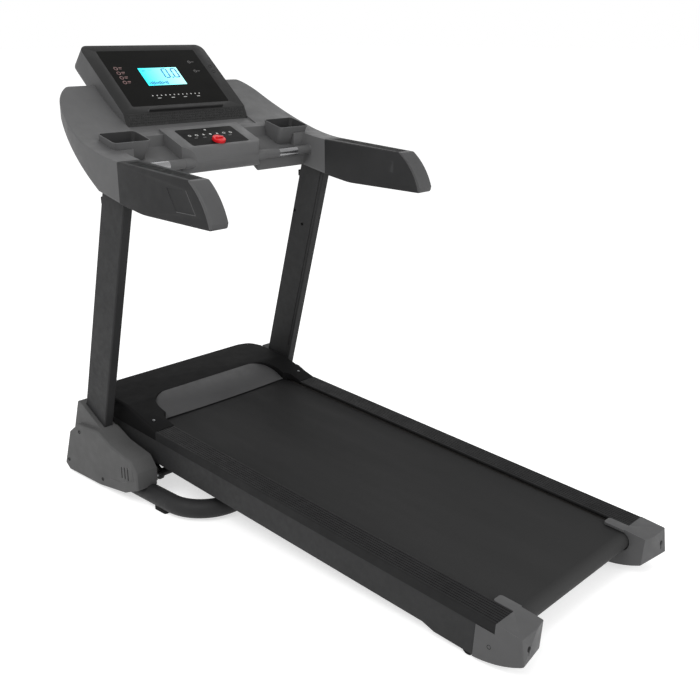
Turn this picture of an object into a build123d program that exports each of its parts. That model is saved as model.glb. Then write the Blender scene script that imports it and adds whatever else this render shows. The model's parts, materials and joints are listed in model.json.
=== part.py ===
from build123d import *
import os
from math import asin, atan2, cos, degrees, hypot, radians, sin

# Folding treadmill. X points to the runner's right, Y forward to the console, Z up from the floor.
# Layout heights start at the floor, and layout Y starts at the front end of the foot rails.
# Deck pieces are drawn along the deck from that same end, console pieces from the tops of the uprights.

# Running belt, rollers and board
belt_half_width = 280.0
belt_drop = 12.0
belt_thick = 2.0
belt_gap = 0.3
roller_radius = 25.0
roller_overhang = 3.0
roller_wall = 4.0
roller_plug = 24.0
rear_roller_inset = 8.0
front_roller_at = 145.0
shaft_radius = 8.5
shaft_end_reach = 12.0
shaft_end_radius = 6.0
board_thick = 22.0
board_side_gap = 6.0
board_end_gap = 46.0
running_fit = 0.05

# Foot rails
rail_rear_height = 130.0
rail_front_height = 226.61
rail_length = 1335.0
rail_belt_gap = 7.0
rail_width = 73.0
rail_plate = 6.0
rail_lip = 30.0
rail_lip_wall = 3.0
rail_groove_count = 7
rail_groove_width = 3.0
rail_groove_depth = 1.6

# Deck frame
frame_width = 40.0
frame_height = 84.0
frame_wall = 2.5
frame_overhang = 30.0
frame_end_plate = 6.0
frame_nose = 45.0
frame_corner_length = 62.0
frame_corner_height = 30.0
heel_drop = 10.0
heel_length = 160.0
heel_ramp = 38.0
cushion_height = 12.0
cushion_radius = 14.0
shelf_thick = 4.0
shelf_reach = 34.0
shelf_length = 60.0
shelf_count = 4
shelf_rear_margin = 150.0
shelf_front_margin = 65.0
cross_count = 3
cross_rear_margin = 300.0
cross_front_margin = 255.0
cross_width = 40.0
cross_height = 38.0
cross_wall = 2.5
cross_rise = 2.0
adjuster_radius = 4.0
adjuster_head_radius = 6.5
adjuster_head = 8.0
adjuster_inset = 18.0

# Rear caps and rear feet
cap_overhang = 88.0
cap_top_overhang = 74.0
cap_top_fall = 4.0
cap_low_edge = 74.0
cap_sole_back = 30.0
cap_sole_drop = 104.0
cap_front = 55.0
cap_plan_slant = 22.0
cap_wall = 4.0
cap_belt_cover = 22.0
cap_tongue_cover = 26.0
cap_tongue_front = 61.0
cap_tongue_thick = 8.0
cap_recess_gap = 3.4
cap_recess_depth = 13.0
cap_fit = 0.3
cap_round = 3.0
rear_foot_radius = 18.0
rear_foot_inset = 75.0
rear_foot_width = 30.0

# Motor hood
hood_front_at = 383.0
hood_corner_at = 369.0
hood_corner_half = 264.0
hood_shoulder_in = 17.0
hood_shoulder_drop = 25.0
hood_side_front_at = 296.0
hood_plan_round = 50.0
hood_rim_round = 10.0
hood_crest_at = 160.0
hood_crest = 38.0
hood_brow = 26.0
hood_brow_rise = 2.0
hood_brow_round = 24.0
hood_crest_round = 60.0
hood_rear_rise = 2.0
hood_skirt_drop = 104.0
hood_wall = 3.0
hood_belt_gap = 3.0
hood_mouth_at = 68.0
hood_mouth_side_at = 74.0
hood_mouth_round = 32.0
insert_front_at = 179.0
insert_mouth_inset = 20.0
insert_corner = 80.0
insert_drop = 5.0
insert_thick = 4.0

# Motor bay
tray_rear_at = 90.0
tray_step_at = 147.0
tray_front_at = 283.0
tray_side_gap = 22.0
tray_thick = 3.0
motor_at = 257.0
motor_drop = 30.0
motor_radius = 46.0
motor_length = 188.0
motor_bell = 20.0
motor_bell_step = 5.0
motor_foot_reach = 40.0
motor_foot_toe = 24.0
motor_foot_width = 12.0
motor_pulley_gap = 44.0
motor_shaft_radius = 8.0
flywheel_radius = 42.0
flywheel_width = 28.0
flywheel_gap = 4.0
drive_pulley_radius = 34.0
motor_pulley_radius = 15.0
drive_belt_width = 16.0
drive_belt_thick = 2.5
pulley_frame_gap = 5.0
pulley_width = 20.0
pulley_groove_pitch = 3.0
pulley_groove_width = 1.6
pulley_groove_depth = 1.5
controller_size = (120.0, 90.0, 62.0)
controller_inset = 13.0
controller_rear_at = 189.0
inlet_size = (96.0, 20.0, 50.0)
inlet_at = 205.0
inlet_setback = 8.0
inlet_rise = 10.0
switch_size = (30.0, 9.0, 22.0)
switch_side = 24.0
switch_pin_radius = 2.0
switch_pin_reach = 2.5
switch_pin_depth = 4.5

# Fold pivot and lift frame
pivot_at = 305.0
pivot_drop = 72.0
axle_radius = 10.0
lift_pivot_y = 68.5
lift_pivot_z = 40.0
lift_rise = 80.0
lift_tube_radius = 14.0
lift_arm_gap = 3.0
lift_arm_thick = 12.0
lift_boss = 20.0
lift_arm_waist = 12.0
lift_lever = 85.0
lever_at = -120.0
strut_at = 120.0
plate_thick = 6.0
fork_gap = 12.0
fork_boss = 13.0
link_pin_radius = 6.0
strut_crank = 200.0
strut_reach = 520.0
strut_spread = 26.0
strut_barrel_radius = 12.0
strut_barrel_wall = 2.0
strut_barrel_length = 258.0
strut_tongue = 30.0
strut_rod_radius = 5.0
strut_gland = 10.0
piston_at = 38.0
piston_length = 12.0
link_eye_radius = 11.0
link_eye_width = 11.0

# Incline drive
incline_pin_y = -219.5
incline_pin_z = 62.0
incline_gearbox = (26.0, 50.0, 34.0)
incline_gearbox_at = 18.0
incline_tube_radius = 15.0
incline_tube_end = 205.0
incline_screw_radius = 9.0
incline_motor_radius = 22.0
incline_motor_length = 96.0

# Base
base_tube_radius = 30.0
base_tube_wall = 3.0
base_tube_gap = 45.0
base_tube_height = 35.0
base_tube_nose = 14.4
base_bend_radius = 135.0
base_bow_y = -266.5
front_tube_width = 40.0
front_tube_height = 50.0
front_tube_back = 17.6
lift_bracket_reach = 60.0
lift_bracket_half = 22.0
foot_pad = (44.0, 60.0)
foot_pad_top = 14.0
foot_pad_gap = 10.0
wheel_radius = 24.0
wheel_width = 22.0
wheel_inset = 53.0
wheel_ahead = 60.0
wheel_floor_gap = 1.5
wheel_axle_radius = 5.0
wheel_plate = 5.0

# Uprights
upright_gap = 35.0
upright_width = 33.0
upright_foot_y = 366.1
upright_lean = 0.276
upright_depth = 119.0
upright_top = 1015.0
upright_wall = 2.5
upright_round = 5.0
upright_groove = 8.0
upright_groove_depth = 1.6
upright_groove_back = 7.0
upright_groove_low = 300.0

# Base covers: side outline from the upright's foot, as (along, height)
cover_front_low = (44.4, 24.0)
cover_front_high = (-3.6, 155.0)
cover_crest_front = (-57.6, 196.0)
cover_crest_rear = (-180.6, 205.0)
cover_saddle = (-251.6, 174.0)
cover_brow = (-360.6, 154.0)
cover_chin = (-389.6, 118.0)
cover_toe = (-391.6, 60.0)
cover_sole_rear = (-316.6, 27.0)
cover_sole_mid = (-168.6, 7.0)
cover_sole_front = (18.4, 4.0)
collar_front = (-7.6, 150.0)
collar_peak = (-51.6, 279.0)
collar_rear = (-199.6, 196.0)
cover_inner_gap = 14.5
cover_outer_gap = 32.0
collar_inner_gap = 8.0
collar_outer_gap = 15.0
cover_wall = 3.5
cover_brow_round = 18.0
cover_front_round = 10.0
collar_round = 8.0
cover_round = 7.0
cover_fit = 0.5
cover_slot_count = 3
cover_slot_width = 6.0
cover_slot_pitch = 17.0
cover_slot_rear = -345.6
cover_slot_low = 80.0
cover_slot_high = 126.0
cover_slot_fall = 4.0

# Console shell: side curve and plan outline, as (along, height) from the uprights' tops
console_overhang = 30.0
console_rear_y = -131.5
console_rear_top = 86.0
console_mid = (82.5, 142.0)
console_front_top = (296.5, 287.0)
console_front_low = (306.5, 231.0)
console_knee = (-27.5, -7.0)
console_rear_low = -31.0
console_nose_round = 14.0
console_rim_round = 5.0
console_wall = 3.0
console_waist_back = 100.0
console_mid_in = (12.0, 27.0)
console_shoulder = (54.0, 59.0)
console_shoulder_mid = (84.0, 24.0)
console_brow = (128.0, 2.0)
console_bow = 8.0
wing_inset = 15.0
wing_taper = 8.0
valley_rear_y = -31.5
valley_front_y = 44.5
valley_front_top = 127.0
valley_depth = 34.0
valley_inset = 50.0

# Control pod in the middle of the console
pod_half_width = 160.0
pod_front = (72.5, 145.0)
pod_rear = (-53.5, 92.0)
pod_nose = (-75.5, 53.0)
pod_low = (-25.5, 11.0)
pod_keel = (72.5, 71.0)
pod_wall = 3.0
pod_cheek = 34.0
pod_cheek_length = 36.0
pod_cheek_round = 26.0
panel_side_margin = 43.0
panel_length = 106.0
panel_thick = 2.5
panel_margin = 10.0
panel_round = 8.0
key_radius = 22.0
key_height = 10.0
key_stem_radius = 5.0
key_stem = 6.0
key_gap = 0.3
key_from_edge = 19.0

# Display housing
housing_half_width = 249.0
housing_top = (358.5, 393.0)
housing_fold = (131.5, 192.0)
housing_lip = (115.5, 151.0)
housing_depth = 90.0
housing_corner = 30.0
housing_back_round = 16.0
housing_wall = 4.0
housing_seat = 24.0
glass_side_margin = 51.0
glass_height = 251.0
glass_from_top = 26.0
glass_thick = 3.0
glass_round = 6.0
lcd_width = 156.0
lcd_height = 80.0
lcd_from_glass_top = 82.0
lcd_offset = -5.0
lcd_gap = 0.2
ledge_half_width = 152.0
ledge_height = 7.0
ledge_reach = 9.0
grille_side_margin = 13.0
grille_thick = 2.0
grille_margin = 3.0
grille_hole = 1.4
grille_rows = 4
grille_columns = 56
grille_pitch = 8.0

# Cup holders
cup_inset = 48.0
cup_y = 8.5
cup_z = 137.0
cup_tilt = 15.0
cup_width = 134.0
cup_length = 92.0
cup_depth = 66.0
cup_draft = 9.0
cup_wall = 3.0
cup_corner = 14.0
cup_fit = 0.4

# Pulse bars
pulse_y = -57.5
pulse_z = 47.0
pulse_radius = 15.0
pulse_plate_thick = 1.2
pulse_plate_half = 42.0

# Handrails
handrail_end_top = (-467.0, 65.0)
handrail_end_mid = (-510.0, 24.0)
handrail_end_low = (-545.0, -42.0)
handrail_low = -59.0
handrail_mid = (-237.5, -53.0)
handrail_front_low = -35.0
handrail_round = 5.0
handrail_toe_round = 10.0
handrail_taper = 18.0
handrail_cap_thick = 13.0
handrail_tube = 36.0
handrail_tube_wall = 2.5
handrail_tube_rear = -432.5
handrail_tube_front = -32.5
handrail_recess_rear = -481.0
handrail_recess_length = 85.0
handrail_recess_height = 62.0
handrail_recess_low = -24.0
handrail_recess_lean = 37.0
handrail_recess_depth = 1.5
grip_strip_width = 40.0
grip_strip_thick = 3.0
grip_strip_front_gap = 24.0
grip_strip_rear_gap = 22.0

# Widths that follow from the sizes above
roller_half_length = belt_half_width + roller_overhang
rail_in = belt_half_width + rail_belt_gap
rail_half_width = rail_in + rail_width
frame_out = rail_half_width - rail_lip_wall
frame_in = frame_out - frame_width
board_half_width = frame_in - board_side_gap
adjuster_at = frame_in + adjuster_inset
cap_inner_at = belt_half_width - cap_belt_cover
cap_tongue_inner = belt_half_width - cap_tongue_cover
cap_recess_at = roller_half_length + cap_recess_depth
hood_mouth_half = rail_in
insert_half_width = hood_mouth_half - insert_mouth_inset
tray_half_width = frame_in - tray_side_gap
pulley_inner_at = frame_in - pulley_frame_gap - pulley_width
motor_left = motor_pulley_gap - pulley_inner_at
motor_right = motor_left + motor_length
controller_left = tray_half_width - controller_inset - controller_size[0]
lift_arm_inner = frame_in - lift_arm_gap - lift_arm_thick
base_tube_x = rail_half_width + base_tube_gap
lift_bracket_inner = base_tube_x - lift_bracket_reach
wheel_x = base_tube_x - wheel_inset
upright_inner = rail_half_width + upright_gap
upright_outer = upright_inner + upright_width
cover_inner = upright_inner - cover_inner_gap
cover_outer = upright_outer + cover_outer_gap
collar_inner = upright_inner - collar_inner_gap
collar_outer = upright_outer + collar_outer_gap
console_half_width = upright_outer + console_overhang
wing_inner = upright_inner - wing_inset
valley_outer = wing_inner - valley_inset
cup_x = wing_inner - cup_inset
handrail_tube_x = (upright_inner + upright_outer) / 2
panel_half_width = pod_half_width - panel_side_margin
glass_half_width = housing_half_width - glass_side_margin
grille_half_width = housing_half_width - grille_side_margin
shaft_half = frame_in + frame_wall + 2 * shaft_end_reach + 1

# Heights in the deck frame
frame_top = -rail_lip
frame_low = frame_top - frame_height
belt_under = -belt_drop - belt_thick
roller_axis = belt_under - belt_gap - roller_radius
board_top = belt_under - belt_gap
board_low = board_top - board_thick
shelf_top = board_low - cushion_height

# Places along the deck, the base and the console
rail_rear = -rail_length
rear_roller_at = rail_rear + rear_roller_inset
frame_rear_at = rail_rear - frame_overhang
cap_rear_at = rail_rear - cap_overhang
cap_front_at = rail_rear + cap_front
rear_foot_at = rail_rear + rear_foot_inset
shelf_step = (rail_length - shelf_rear_margin - shelf_front_margin) / (shelf_count - 1)
shelf_places = [rail_rear + shelf_rear_margin + shelf_step * index for index in range(shelf_count)]
cross_step = (rail_length - cross_rear_margin - cross_front_margin) / (cross_count - 1)
cross_places = [rail_rear + cross_rear_margin + cross_step * index for index in range(cross_count)]
inlet_front = hood_front_at - inlet_setback
inlet_middle = inlet_rise - hood_skirt_drop + inlet_size[2] / 2
switch_x = inlet_at + switch_side
base_tube_front = upright_foot_y + base_tube_nose
front_tube_y = upright_foot_y - front_tube_back
wheel_y = front_tube_y + wheel_ahead
foot_places = (base_bow_y + base_bend_radius + foot_pad_gap + foot_pad[1] / 2,
               front_tube_y - front_tube_width / 2 - foot_pad_gap - foot_pad[1] / 2)
upright_top_y = upright_foot_y - upright_lean * upright_top
grip_strip_front = console_rear_y - grip_strip_front_gap
grip_strip_rear = handrail_end_top[0] + grip_strip_rear_gap

# Frames of the deck and of the console, and the shift that centres the machine
tilt = asin((rail_front_height - rail_rear_height) / rail_length)
deck_place = Pos(0, 0, rail_front_height) * Rot(degrees(tilt), 0, 0)
console_place = Pos(0, upright_top_y, upright_top)
housing_slope = atan2(housing_top[1] - housing_fold[1], housing_top[0] - housing_fold[0])
back_round_loss = housing_back_round * (sin(housing_slope) + cos(housing_slope) - 1)
front_reach = upright_top_y + housing_top[0] + housing_depth * sin(housing_slope) - back_round_loss
rear_reach = cap_rear_at * cos(tilt) + cap_low_edge * sin(tilt)
frame_shift = -(front_reach + rear_reach) / 2

os.makedirs("parts", exist_ok=True)

def box(x_span, y_span, z_span):
    centre = Pos(sum(x_span) / 2, sum(y_span) / 2, sum(z_span) / 2)
    return centre * Box(x_span[1] - x_span[0], y_span[1] - y_span[0], z_span[1] - z_span[0])


def rod_x(radius, x_span, y, z):
    return Pos(sum(x_span) / 2, y, z) * Rot(0, 90, 0) * Cylinder(radius, x_span[1] - x_span[0])


def rod_y(radius, x, y_span, z):
    return Pos(x, sum(y_span) / 2, z) * Rot(90, 0, 0) * Cylinder(radius, y_span[1] - y_span[0])


def face_of(*points):
    return make_face(Polyline(*points, close=True))


def soften(face, point, radius):
    return fillet(face.vertices().sort_by_distance(Vector(*point))[0], radius)


def across(face, x_span):
    return extrude(Plane.YZ.offset(x_span[0]) * face, x_span[1] - x_span[0])


def upward(face, z_span):
    return extrude(Plane.XY.offset(z_span[0]) * face, z_span[1] - z_span[0])


def hull_of(start, start_radius, end, end_radius):
    first = Pos(*start) * Circle(start_radius)
    second = Pos(*end) * Circle(end_radius)
    return make_hull([*first.edges(), *second.edges()])


def link_plate(start, start_radius, end, end_radius, x_span):
    return across(hull_of(start, start_radius, end, end_radius), x_span)


def other_side(shape):
    return mirror(shape, about=Plane.YZ)


def save(name, shape):
    solids = [Pos(0, frame_shift, 0) * solid for solid in shape.solids()]
    export_step(solids[0] if len(solids) == 1 else group(solids), f"parts/{name}.step")


def save_pair(name, right_shape):
    save(f"{name}_right", right_shape)
    save(f"{name}_left", other_side(right_shape))


def group(shapes):
    return Compound(children=list(shapes))


def both_sides(right_shape):
    return group([right_shape, other_side(right_shape)])


def deck_point(along, above):
    return (along * cos(tilt) - above * sin(tilt),
            rail_front_height + along * sin(tilt) + above * cos(tilt))


# Pivots of the fold, the lift frame, the strut and the incline drive, as (Y, Z)
fold_pivot = deck_point(pivot_at, -pivot_drop)
lift_pivot = (lift_pivot_y, lift_pivot_z)
strut_deck_point = (pivot_at - strut_reach, -pivot_drop - fork_boss - 3 * strut_barrel_radius)
strut_deck_pin = deck_point(*strut_deck_point)
strut_line = atan2(strut_deck_pin[1] - fold_pivot[1], strut_deck_pin[0] - fold_pivot[0])
crank_angle = strut_line + radians(strut_spread)
strut_low_pin = (fold_pivot[0] + strut_crank * cos(crank_angle),
                 fold_pivot[1] + strut_crank * sin(crank_angle))
incline_pin = (incline_pin_y, incline_pin_z)
lever_pin = (lift_pivot_y, lift_pivot_z + lift_lever)


# Deck frame
def side_frame():
    span = (frame_rear_at, pivot_at + frame_nose)
    tube = box((frame_in, frame_out), span, (frame_low, frame_top))
    hollow_x = (frame_in + frame_wall, frame_out - frame_wall)
    hollow_z = (frame_low + frame_wall, frame_top - frame_wall)
    tube -= box(hollow_x, (span[0] + frame_end_plate, span[1] + 1), hollow_z)
    tube -= rod_x(axle_radius + running_fit, (frame_in - 1, frame_out + 1), pivot_at, -pivot_drop)
    slot_y = (rear_roller_at - 2 * shaft_radius, rear_roller_at + 2 * shaft_radius)
    slot_z = (roller_axis - shaft_end_radius - running_fit, roller_axis + shaft_end_radius + running_fit)
    tube -= box((frame_in - 1, frame_in + frame_wall + 1), slot_y, slot_z)
    hole_y = (span[0] - 1, span[0] + frame_end_plate + 1)
    tube -= rod_y(adjuster_radius + running_fit, adjuster_at, hole_y, roller_axis)
    for place in shelf_places:
        shelf_y = (place - shelf_length / 2, place + shelf_length / 2)
        tube += box((frame_in - shelf_reach, frame_in), shelf_y, (shelf_top - shelf_thick, shelf_top))
    return tube - frame_corner(0) + frame_heel()


def frame_corner(clearance):
    rear = frame_rear_at - 1
    low = frame_low - 1
    corner = face_of((rear, low), (rear + frame_corner_length - clearance, low),
                     (rear, low + frame_corner_height - clearance))
    return across(corner, (frame_in - 1, frame_out + 1))


def frame_heel():
    rear = cap_front_at + cap_fit
    low = frame_low - heel_drop
    side = face_of((rear, frame_low), (rear + heel_length, frame_low),
                   (rear + heel_length - heel_ramp, low), (rear, low))
    return across(side, (frame_in, frame_out))


def cross_members():
    low = frame_low + cross_rise
    bars = []
    for place in cross_places:
        span = (place - cross_width / 2, place + cross_width / 2)
        inner = (span[0] + cross_wall, span[1] - cross_wall)
        bar = box((-frame_in, frame_in), span, (low, low + cross_height))
        bar -= box((-frame_in - 1, frame_in + 1), inner,
                   (low + cross_wall, low + cross_height - cross_wall))
        bars.append(bar)
    for plate in strut_fork():
        bars[-1] += plate
    return group(bars)


def strut_fork():
    start = (cross_places[-1] + cross_width / 2, strut_deck_point[1])
    plates = []
    for side in (-1, 1):
        middle = strut_at + side * (fork_gap + plate_thick) / 2
        span = (middle - plate_thick / 2, middle + plate_thick / 2)
        web = link_plate(start, fork_boss, strut_deck_point, fork_boss, span)
        low = frame_low + cross_rise
        web -= box((span[0] - 1, span[1] + 1), (start[0] - cross_width, start[0]),
                   (low, low + 2 * cross_height))
        plates.append(web)
    return plates


def cushions():
    pads = []
    for side in (-1, 1):
        for place in shelf_places:
            x = side * (frame_in - shelf_reach / 2)
            pad = Cylinder(cushion_radius, cushion_height)
            pads.append(Pos(x, place, shelf_top + cushion_height / 2) * pad)
    return group(pads)


def running_board():
    span = (rear_roller_at + board_end_gap, front_roller_at - board_end_gap)
    board = box((-board_half_width, board_half_width), span, (board_low, board_top))
    ends = board.edges().filter_by(Axis.X).group_by(Axis.Z)[-1]
    return fillet(ends, board_thick / 4)


def running_belt():
    reach = front_roller_at - rear_roller_at
    inner_radius = roller_radius + belt_gap
    outer_loop = SlotCenterToCenter(reach, 2 * (inner_radius + belt_thick))
    loop = outer_loop - SlotCenterToCenter(reach, 2 * inner_radius)
    middle = (rear_roller_at + front_roller_at) / 2
    return across(Pos(middle, roller_axis) * loop, (-belt_half_width, belt_half_width))


def roller(at):
    profile = Pos(0, roller_radius / 2) * Rectangle(2 * roller_half_length, roller_radius)
    hollow = Rectangle(2 * (roller_half_length - roller_plug), roller_radius - roller_wall)
    profile -= Pos(0, (roller_radius - roller_wall) / 2) * hollow
    profile -= Rectangle(2 * roller_half_length + 2, 2 * (shaft_radius + running_fit))
    return Pos(0, at, roller_axis) * revolve(profile, Axis.X)


def drive_pulley():
    span = (-pulley_inner_at - pulley_width, -roller_half_length)
    wheel = rod_x(drive_pulley_radius - 2, span, front_roller_at, roller_axis)
    wheel += rod_x(drive_pulley_radius, (span[0], -pulley_inner_at), front_roller_at, roller_axis)
    middle = -pulley_inner_at - pulley_width / 2
    for rib in range(-2, 3):
        groove_middle = middle + rib * pulley_groove_pitch
        groove = (groove_middle - pulley_groove_width / 2, groove_middle + pulley_groove_width / 2)
        ring = rod_x(drive_pulley_radius + 1, groove, front_roller_at, roller_axis)
        root = drive_pulley_radius - pulley_groove_depth
        wheel -= ring - rod_x(root, groove, front_roller_at, roller_axis)
    return wheel - rod_x(shaft_radius + running_fit, (span[0] - 1, span[1] + 1), front_roller_at,
                         roller_axis)


def rear_shaft():
    shaft = rod_x(shaft_radius, (-frame_in, frame_in), rear_roller_at, roller_axis)
    shaft += rod_x(shaft_end_radius, (-shaft_half, shaft_half), rear_roller_at, roller_axis)
    for side in (-1, 1):
        shaft -= rod_y(adjuster_radius + running_fit, side * adjuster_at,
                       (rear_roller_at - 20, rear_roller_at + 20),
                       roller_axis)
    return shaft


def front_shaft():
    return rod_x(shaft_radius, (-frame_in, frame_in), front_roller_at, roller_axis)


def adjusters():
    bolts = []
    for side in (-1, 1):
        head = RegularPolygon(adjuster_head_radius, 6)
        bolt = extrude(Plane.XZ.offset(-frame_rear_at) * Pos(side * adjuster_at, roller_axis) * head,
                       adjuster_head)
        bolt += rod_y(adjuster_radius, side * adjuster_at,
                      (frame_rear_at, rear_roller_at + 2 * shaft_radius),
                      roller_axis)
        bolts.append(bolt)
    return group(bolts)


# Foot rails and rear caps
def foot_rail():
    plate = Pos(rail_half_width - rail_width / 2, -rail_plate / 2) * Rectangle(rail_width, rail_plate)
    plate = soften(plate, (rail_half_width, 0), rail_plate / 2)
    plate = soften(plate, (rail_in, 0), rail_plate / 2)
    pitch = rail_width / (rail_groove_count + 1)
    for index in range(rail_groove_count):
        x = rail_in + pitch * (index + 1)
        plate -= Pos(x, -rail_groove_depth / 2) * Rectangle(rail_groove_width, rail_groove_depth)
    lip_middle = rail_half_width - rail_lip_wall / 2
    lip_drop = rail_lip - rail_plate / 2
    lip = Pos(lip_middle, -rail_plate / 2 - lip_drop / 2) * Rectangle(rail_lip_wall, lip_drop)
    leg_drop = -board_top - rail_plate / 2
    leg_middle = rail_in + 3 * rail_lip_wall
    leg = Pos(leg_middle, -rail_plate / 2 - leg_drop / 2) * Rectangle(rail_lip_wall, leg_drop)
    brace_middle = frame_in + frame_width / 2
    brace = Pos(brace_middle, -rail_plate / 2 - lip_drop / 2) * Rectangle(rail_lip_wall, lip_drop)
    return Pos(0, rail_rear, 0) * extrude(Plane.XZ * (plate + lip + leg + brace), -rail_length)


def rear_cap():
    top_rear = (rail_rear - cap_top_overhang, -cap_top_fall)
    low_rear = (cap_rear_at, -cap_low_edge)
    low_front = (cap_front_at, frame_low - heel_drop)
    sole = ThreePointArc(low_rear, (rail_rear - cap_sole_back, -cap_sole_drop), low_front)
    edge = Polyline(low_front, (cap_front_at, frame_top), (rail_rear, frame_top), (rail_rear, -0.5),
                    top_rear, low_rear)
    outer = frame_out + cap_wall
    cap = across(make_face(Wire([sole, *edge.edges()])), (cap_inner_at, outer))
    plan = face_of((cap_inner_at, cap_rear_at + cap_plan_slant), (outer, cap_rear_at),
                   (outer, cap_front_at),
                   (cap_inner_at, cap_front_at))
    cap &= upward(plan, (2 * frame_low, 1))
    rear_edges = cap.edges().filter_by(lambda edge: edge.center().Y < rail_rear - cap_top_overhang / 2)
    cap = fillet(rear_edges.filter_by(lambda edge: edge.center().X > cap_inner_at + 1), cap_round)
    tongue = box((cap_tongue_inner, rail_in - cap_fit), (rail_rear - 1, rail_rear + cap_tongue_front),
                 (-cap_tongue_thick, -0.5))
    tongue = fillet(tongue.edges().filter_by(Axis.Z).group_by(Axis.Y)[-1], cap_tongue_thick)
    cap += tongue
    recess_radius = roller_radius + belt_thick + cap_recess_gap
    reach = 2 * cap_front
    recess = Pos(rear_roller_at + reach / 2, roller_axis) * SlotCenterToCenter(reach, 2 * recess_radius)
    cap -= across(recess, (cap_tongue_inner - 5, cap_recess_at))
    pocket = box((frame_in - cap_fit, frame_out + cap_fit), (frame_rear_at - cap_fit, cap_front_at + 1),
                 (frame_low - cap_fit, frame_top + cap_fit))
    cap -= pocket - frame_corner(cap_fit)
    slot_z = (roller_axis - shaft_radius - cap_fit, roller_axis + shaft_radius + cap_fit)
    cap -= box((cap_recess_at - 1, frame_in), (rear_roller_at - 2 * shaft_radius, cap_front_at + 1),
               slot_z)
    cap -= rod_y(adjuster_head_radius + 1, adjuster_at, (cap_rear_at - 1, frame_rear_at), roller_axis)
    cap -= box((adjuster_at - 2, adjuster_at + 2), (cap_rear_at - 1, frame_rear_at - 20),
               (roller_axis - 3 * adjuster_head_radius, roller_axis))
    board_edge = box((cap_inner_at, frame_in), (rear_roller_at + roller_radius, cap_front_at + 1),
                     (board_low - cap_fit, board_top + cap_fit))
    return cap - board_edge


def foot_centre():
    drop = rail_front_height + rear_foot_at * sin(tilt) - rear_foot_radius
    return -drop / cos(tilt)


def rear_foot():
    span_x = (frame_in + (frame_width - rear_foot_width) / 2,
              frame_in + (frame_width + rear_foot_width) / 2)
    foot = rod_x(rear_foot_radius, span_x, rear_foot_at, foot_centre())
    low = frame_low - heel_drop
    span_y = (rear_foot_at - 2 * rear_foot_radius, rear_foot_at + 2 * rear_foot_radius)
    return foot - box((frame_in, frame_out), span_y, (low, low + 4 * rear_foot_radius))


# Motor hood with its arched insert
def hood_side(inset):
    crest = hood_crest - inset
    low = -hood_skirt_drop - inset
    nose = pivot_at + frame_nose + 1
    brow = (hood_front_at - hood_brow, crest + hood_brow_rise)
    side = face_of((0, frame_top - inset), (inset, hood_rear_rise - inset), (hood_crest_at, crest), brow,
                   (hood_front_at - inset, crest - hood_brow), (hood_front_at - inset, low), (nose, low),
                   (nose, frame_top - inset))
    side = soften(side, brow, hood_brow_round)
    return soften(side, (hood_crest_at, crest), hood_crest_round)


def hood_plan(inset):
    half = rail_half_width - inset
    corner = (hood_corner_half, hood_corner_at - inset)
    shoulder = (half - hood_shoulder_in, corner[1] - hood_shoulder_drop)
    front = ThreePointArc((-corner[0], corner[1]), (0, hood_front_at - inset), corner)
    rim = Polyline(corner, shoulder, (half, hood_side_front_at), (half, 0), (-half, 0),
                   (-half, hood_side_front_at),
                   (-shoulder[0], shoulder[1]), (-corner[0], corner[1]))
    plan = make_face(Wire([front, *rim.edges()]))
    for side in (-1, 1):
        plan = soften(plan, (side * corner[0], corner[1]), hood_plan_round)
        plan = soften(plan, (side * shoulder[0], shoulder[1]), hood_plan_round)
    return plan


def hood_form(inset):
    half = rail_half_width - inset
    heights = (-2 * hood_skirt_drop, 3 * hood_crest)
    return across(hood_side(inset), (-half, half)) & upward(hood_plan(inset), heights)


def insert_plan():
    half = insert_half_width
    plan = face_of((half, 0), (half, insert_front_at), (-half, insert_front_at), (-half, 0))
    for side in (-1, 1):
        plan = soften(plan, (side * half, insert_front_at), insert_corner)
    return plan


def mouth_plan():
    half = hood_mouth_half
    arch = ThreePointArc((-half, hood_mouth_side_at), (0, hood_mouth_at), (half, hood_mouth_side_at))
    rim = Polyline((half, hood_mouth_side_at), (half, -hood_wall), (-half, -hood_wall),
                   (-half, hood_mouth_side_at))
    plan = make_face(Wire([arch, *rim.edges()]))
    for side in (-1, 1):
        plan = soften(plan, (side * half, hood_mouth_side_at), hood_mouth_round)
    return plan


def inlet_box(clearance):
    half = inlet_size[0] / 2 + clearance
    height = inlet_size[2] / 2 + clearance
    return box((inlet_at - half, inlet_at + half), (inlet_front - inlet_size[1] - clearance, inlet_front),
               (inlet_middle - height, inlet_middle + height))


def hood():
    outer = hood_form(0)
    rim = outer.edges().filter_by(lambda edge: edge.center().Z > hood_rear_rise
                                  and abs(edge.tangent_at(0.5).Z) < 0.5)
    outer = fillet(rim.filter_by(lambda edge: abs(edge.center().X) > hood_corner_half
                                 or edge.center().Y > hood_corner_at), hood_rim_round)
    shell = outer - hood_form(hood_wall)
    inside = rail_half_width - hood_wall
    gap_top = hood_belt_gap - belt_drop
    shell -= box((-inside, inside), (-1, hood_mouth_at), (-2 * rail_lip, gap_top))
    plans = (mouth_plan(), insert_plan())
    for plan in plans:
        shell += upward(offset(plan, hood_wall), (gap_top, 3 * hood_crest)) & outer
    for plan in plans:
        shell -= upward(plan, (-2 * hood_skirt_drop, 3 * hood_crest))
    half = inlet_size[0] / 2
    low = inlet_middle - inlet_size[2] / 2
    return shell - box((inlet_at - half, inlet_at + half), (inlet_front - 30, inlet_front + 20),
                       (low, low + inlet_size[2]))


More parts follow.
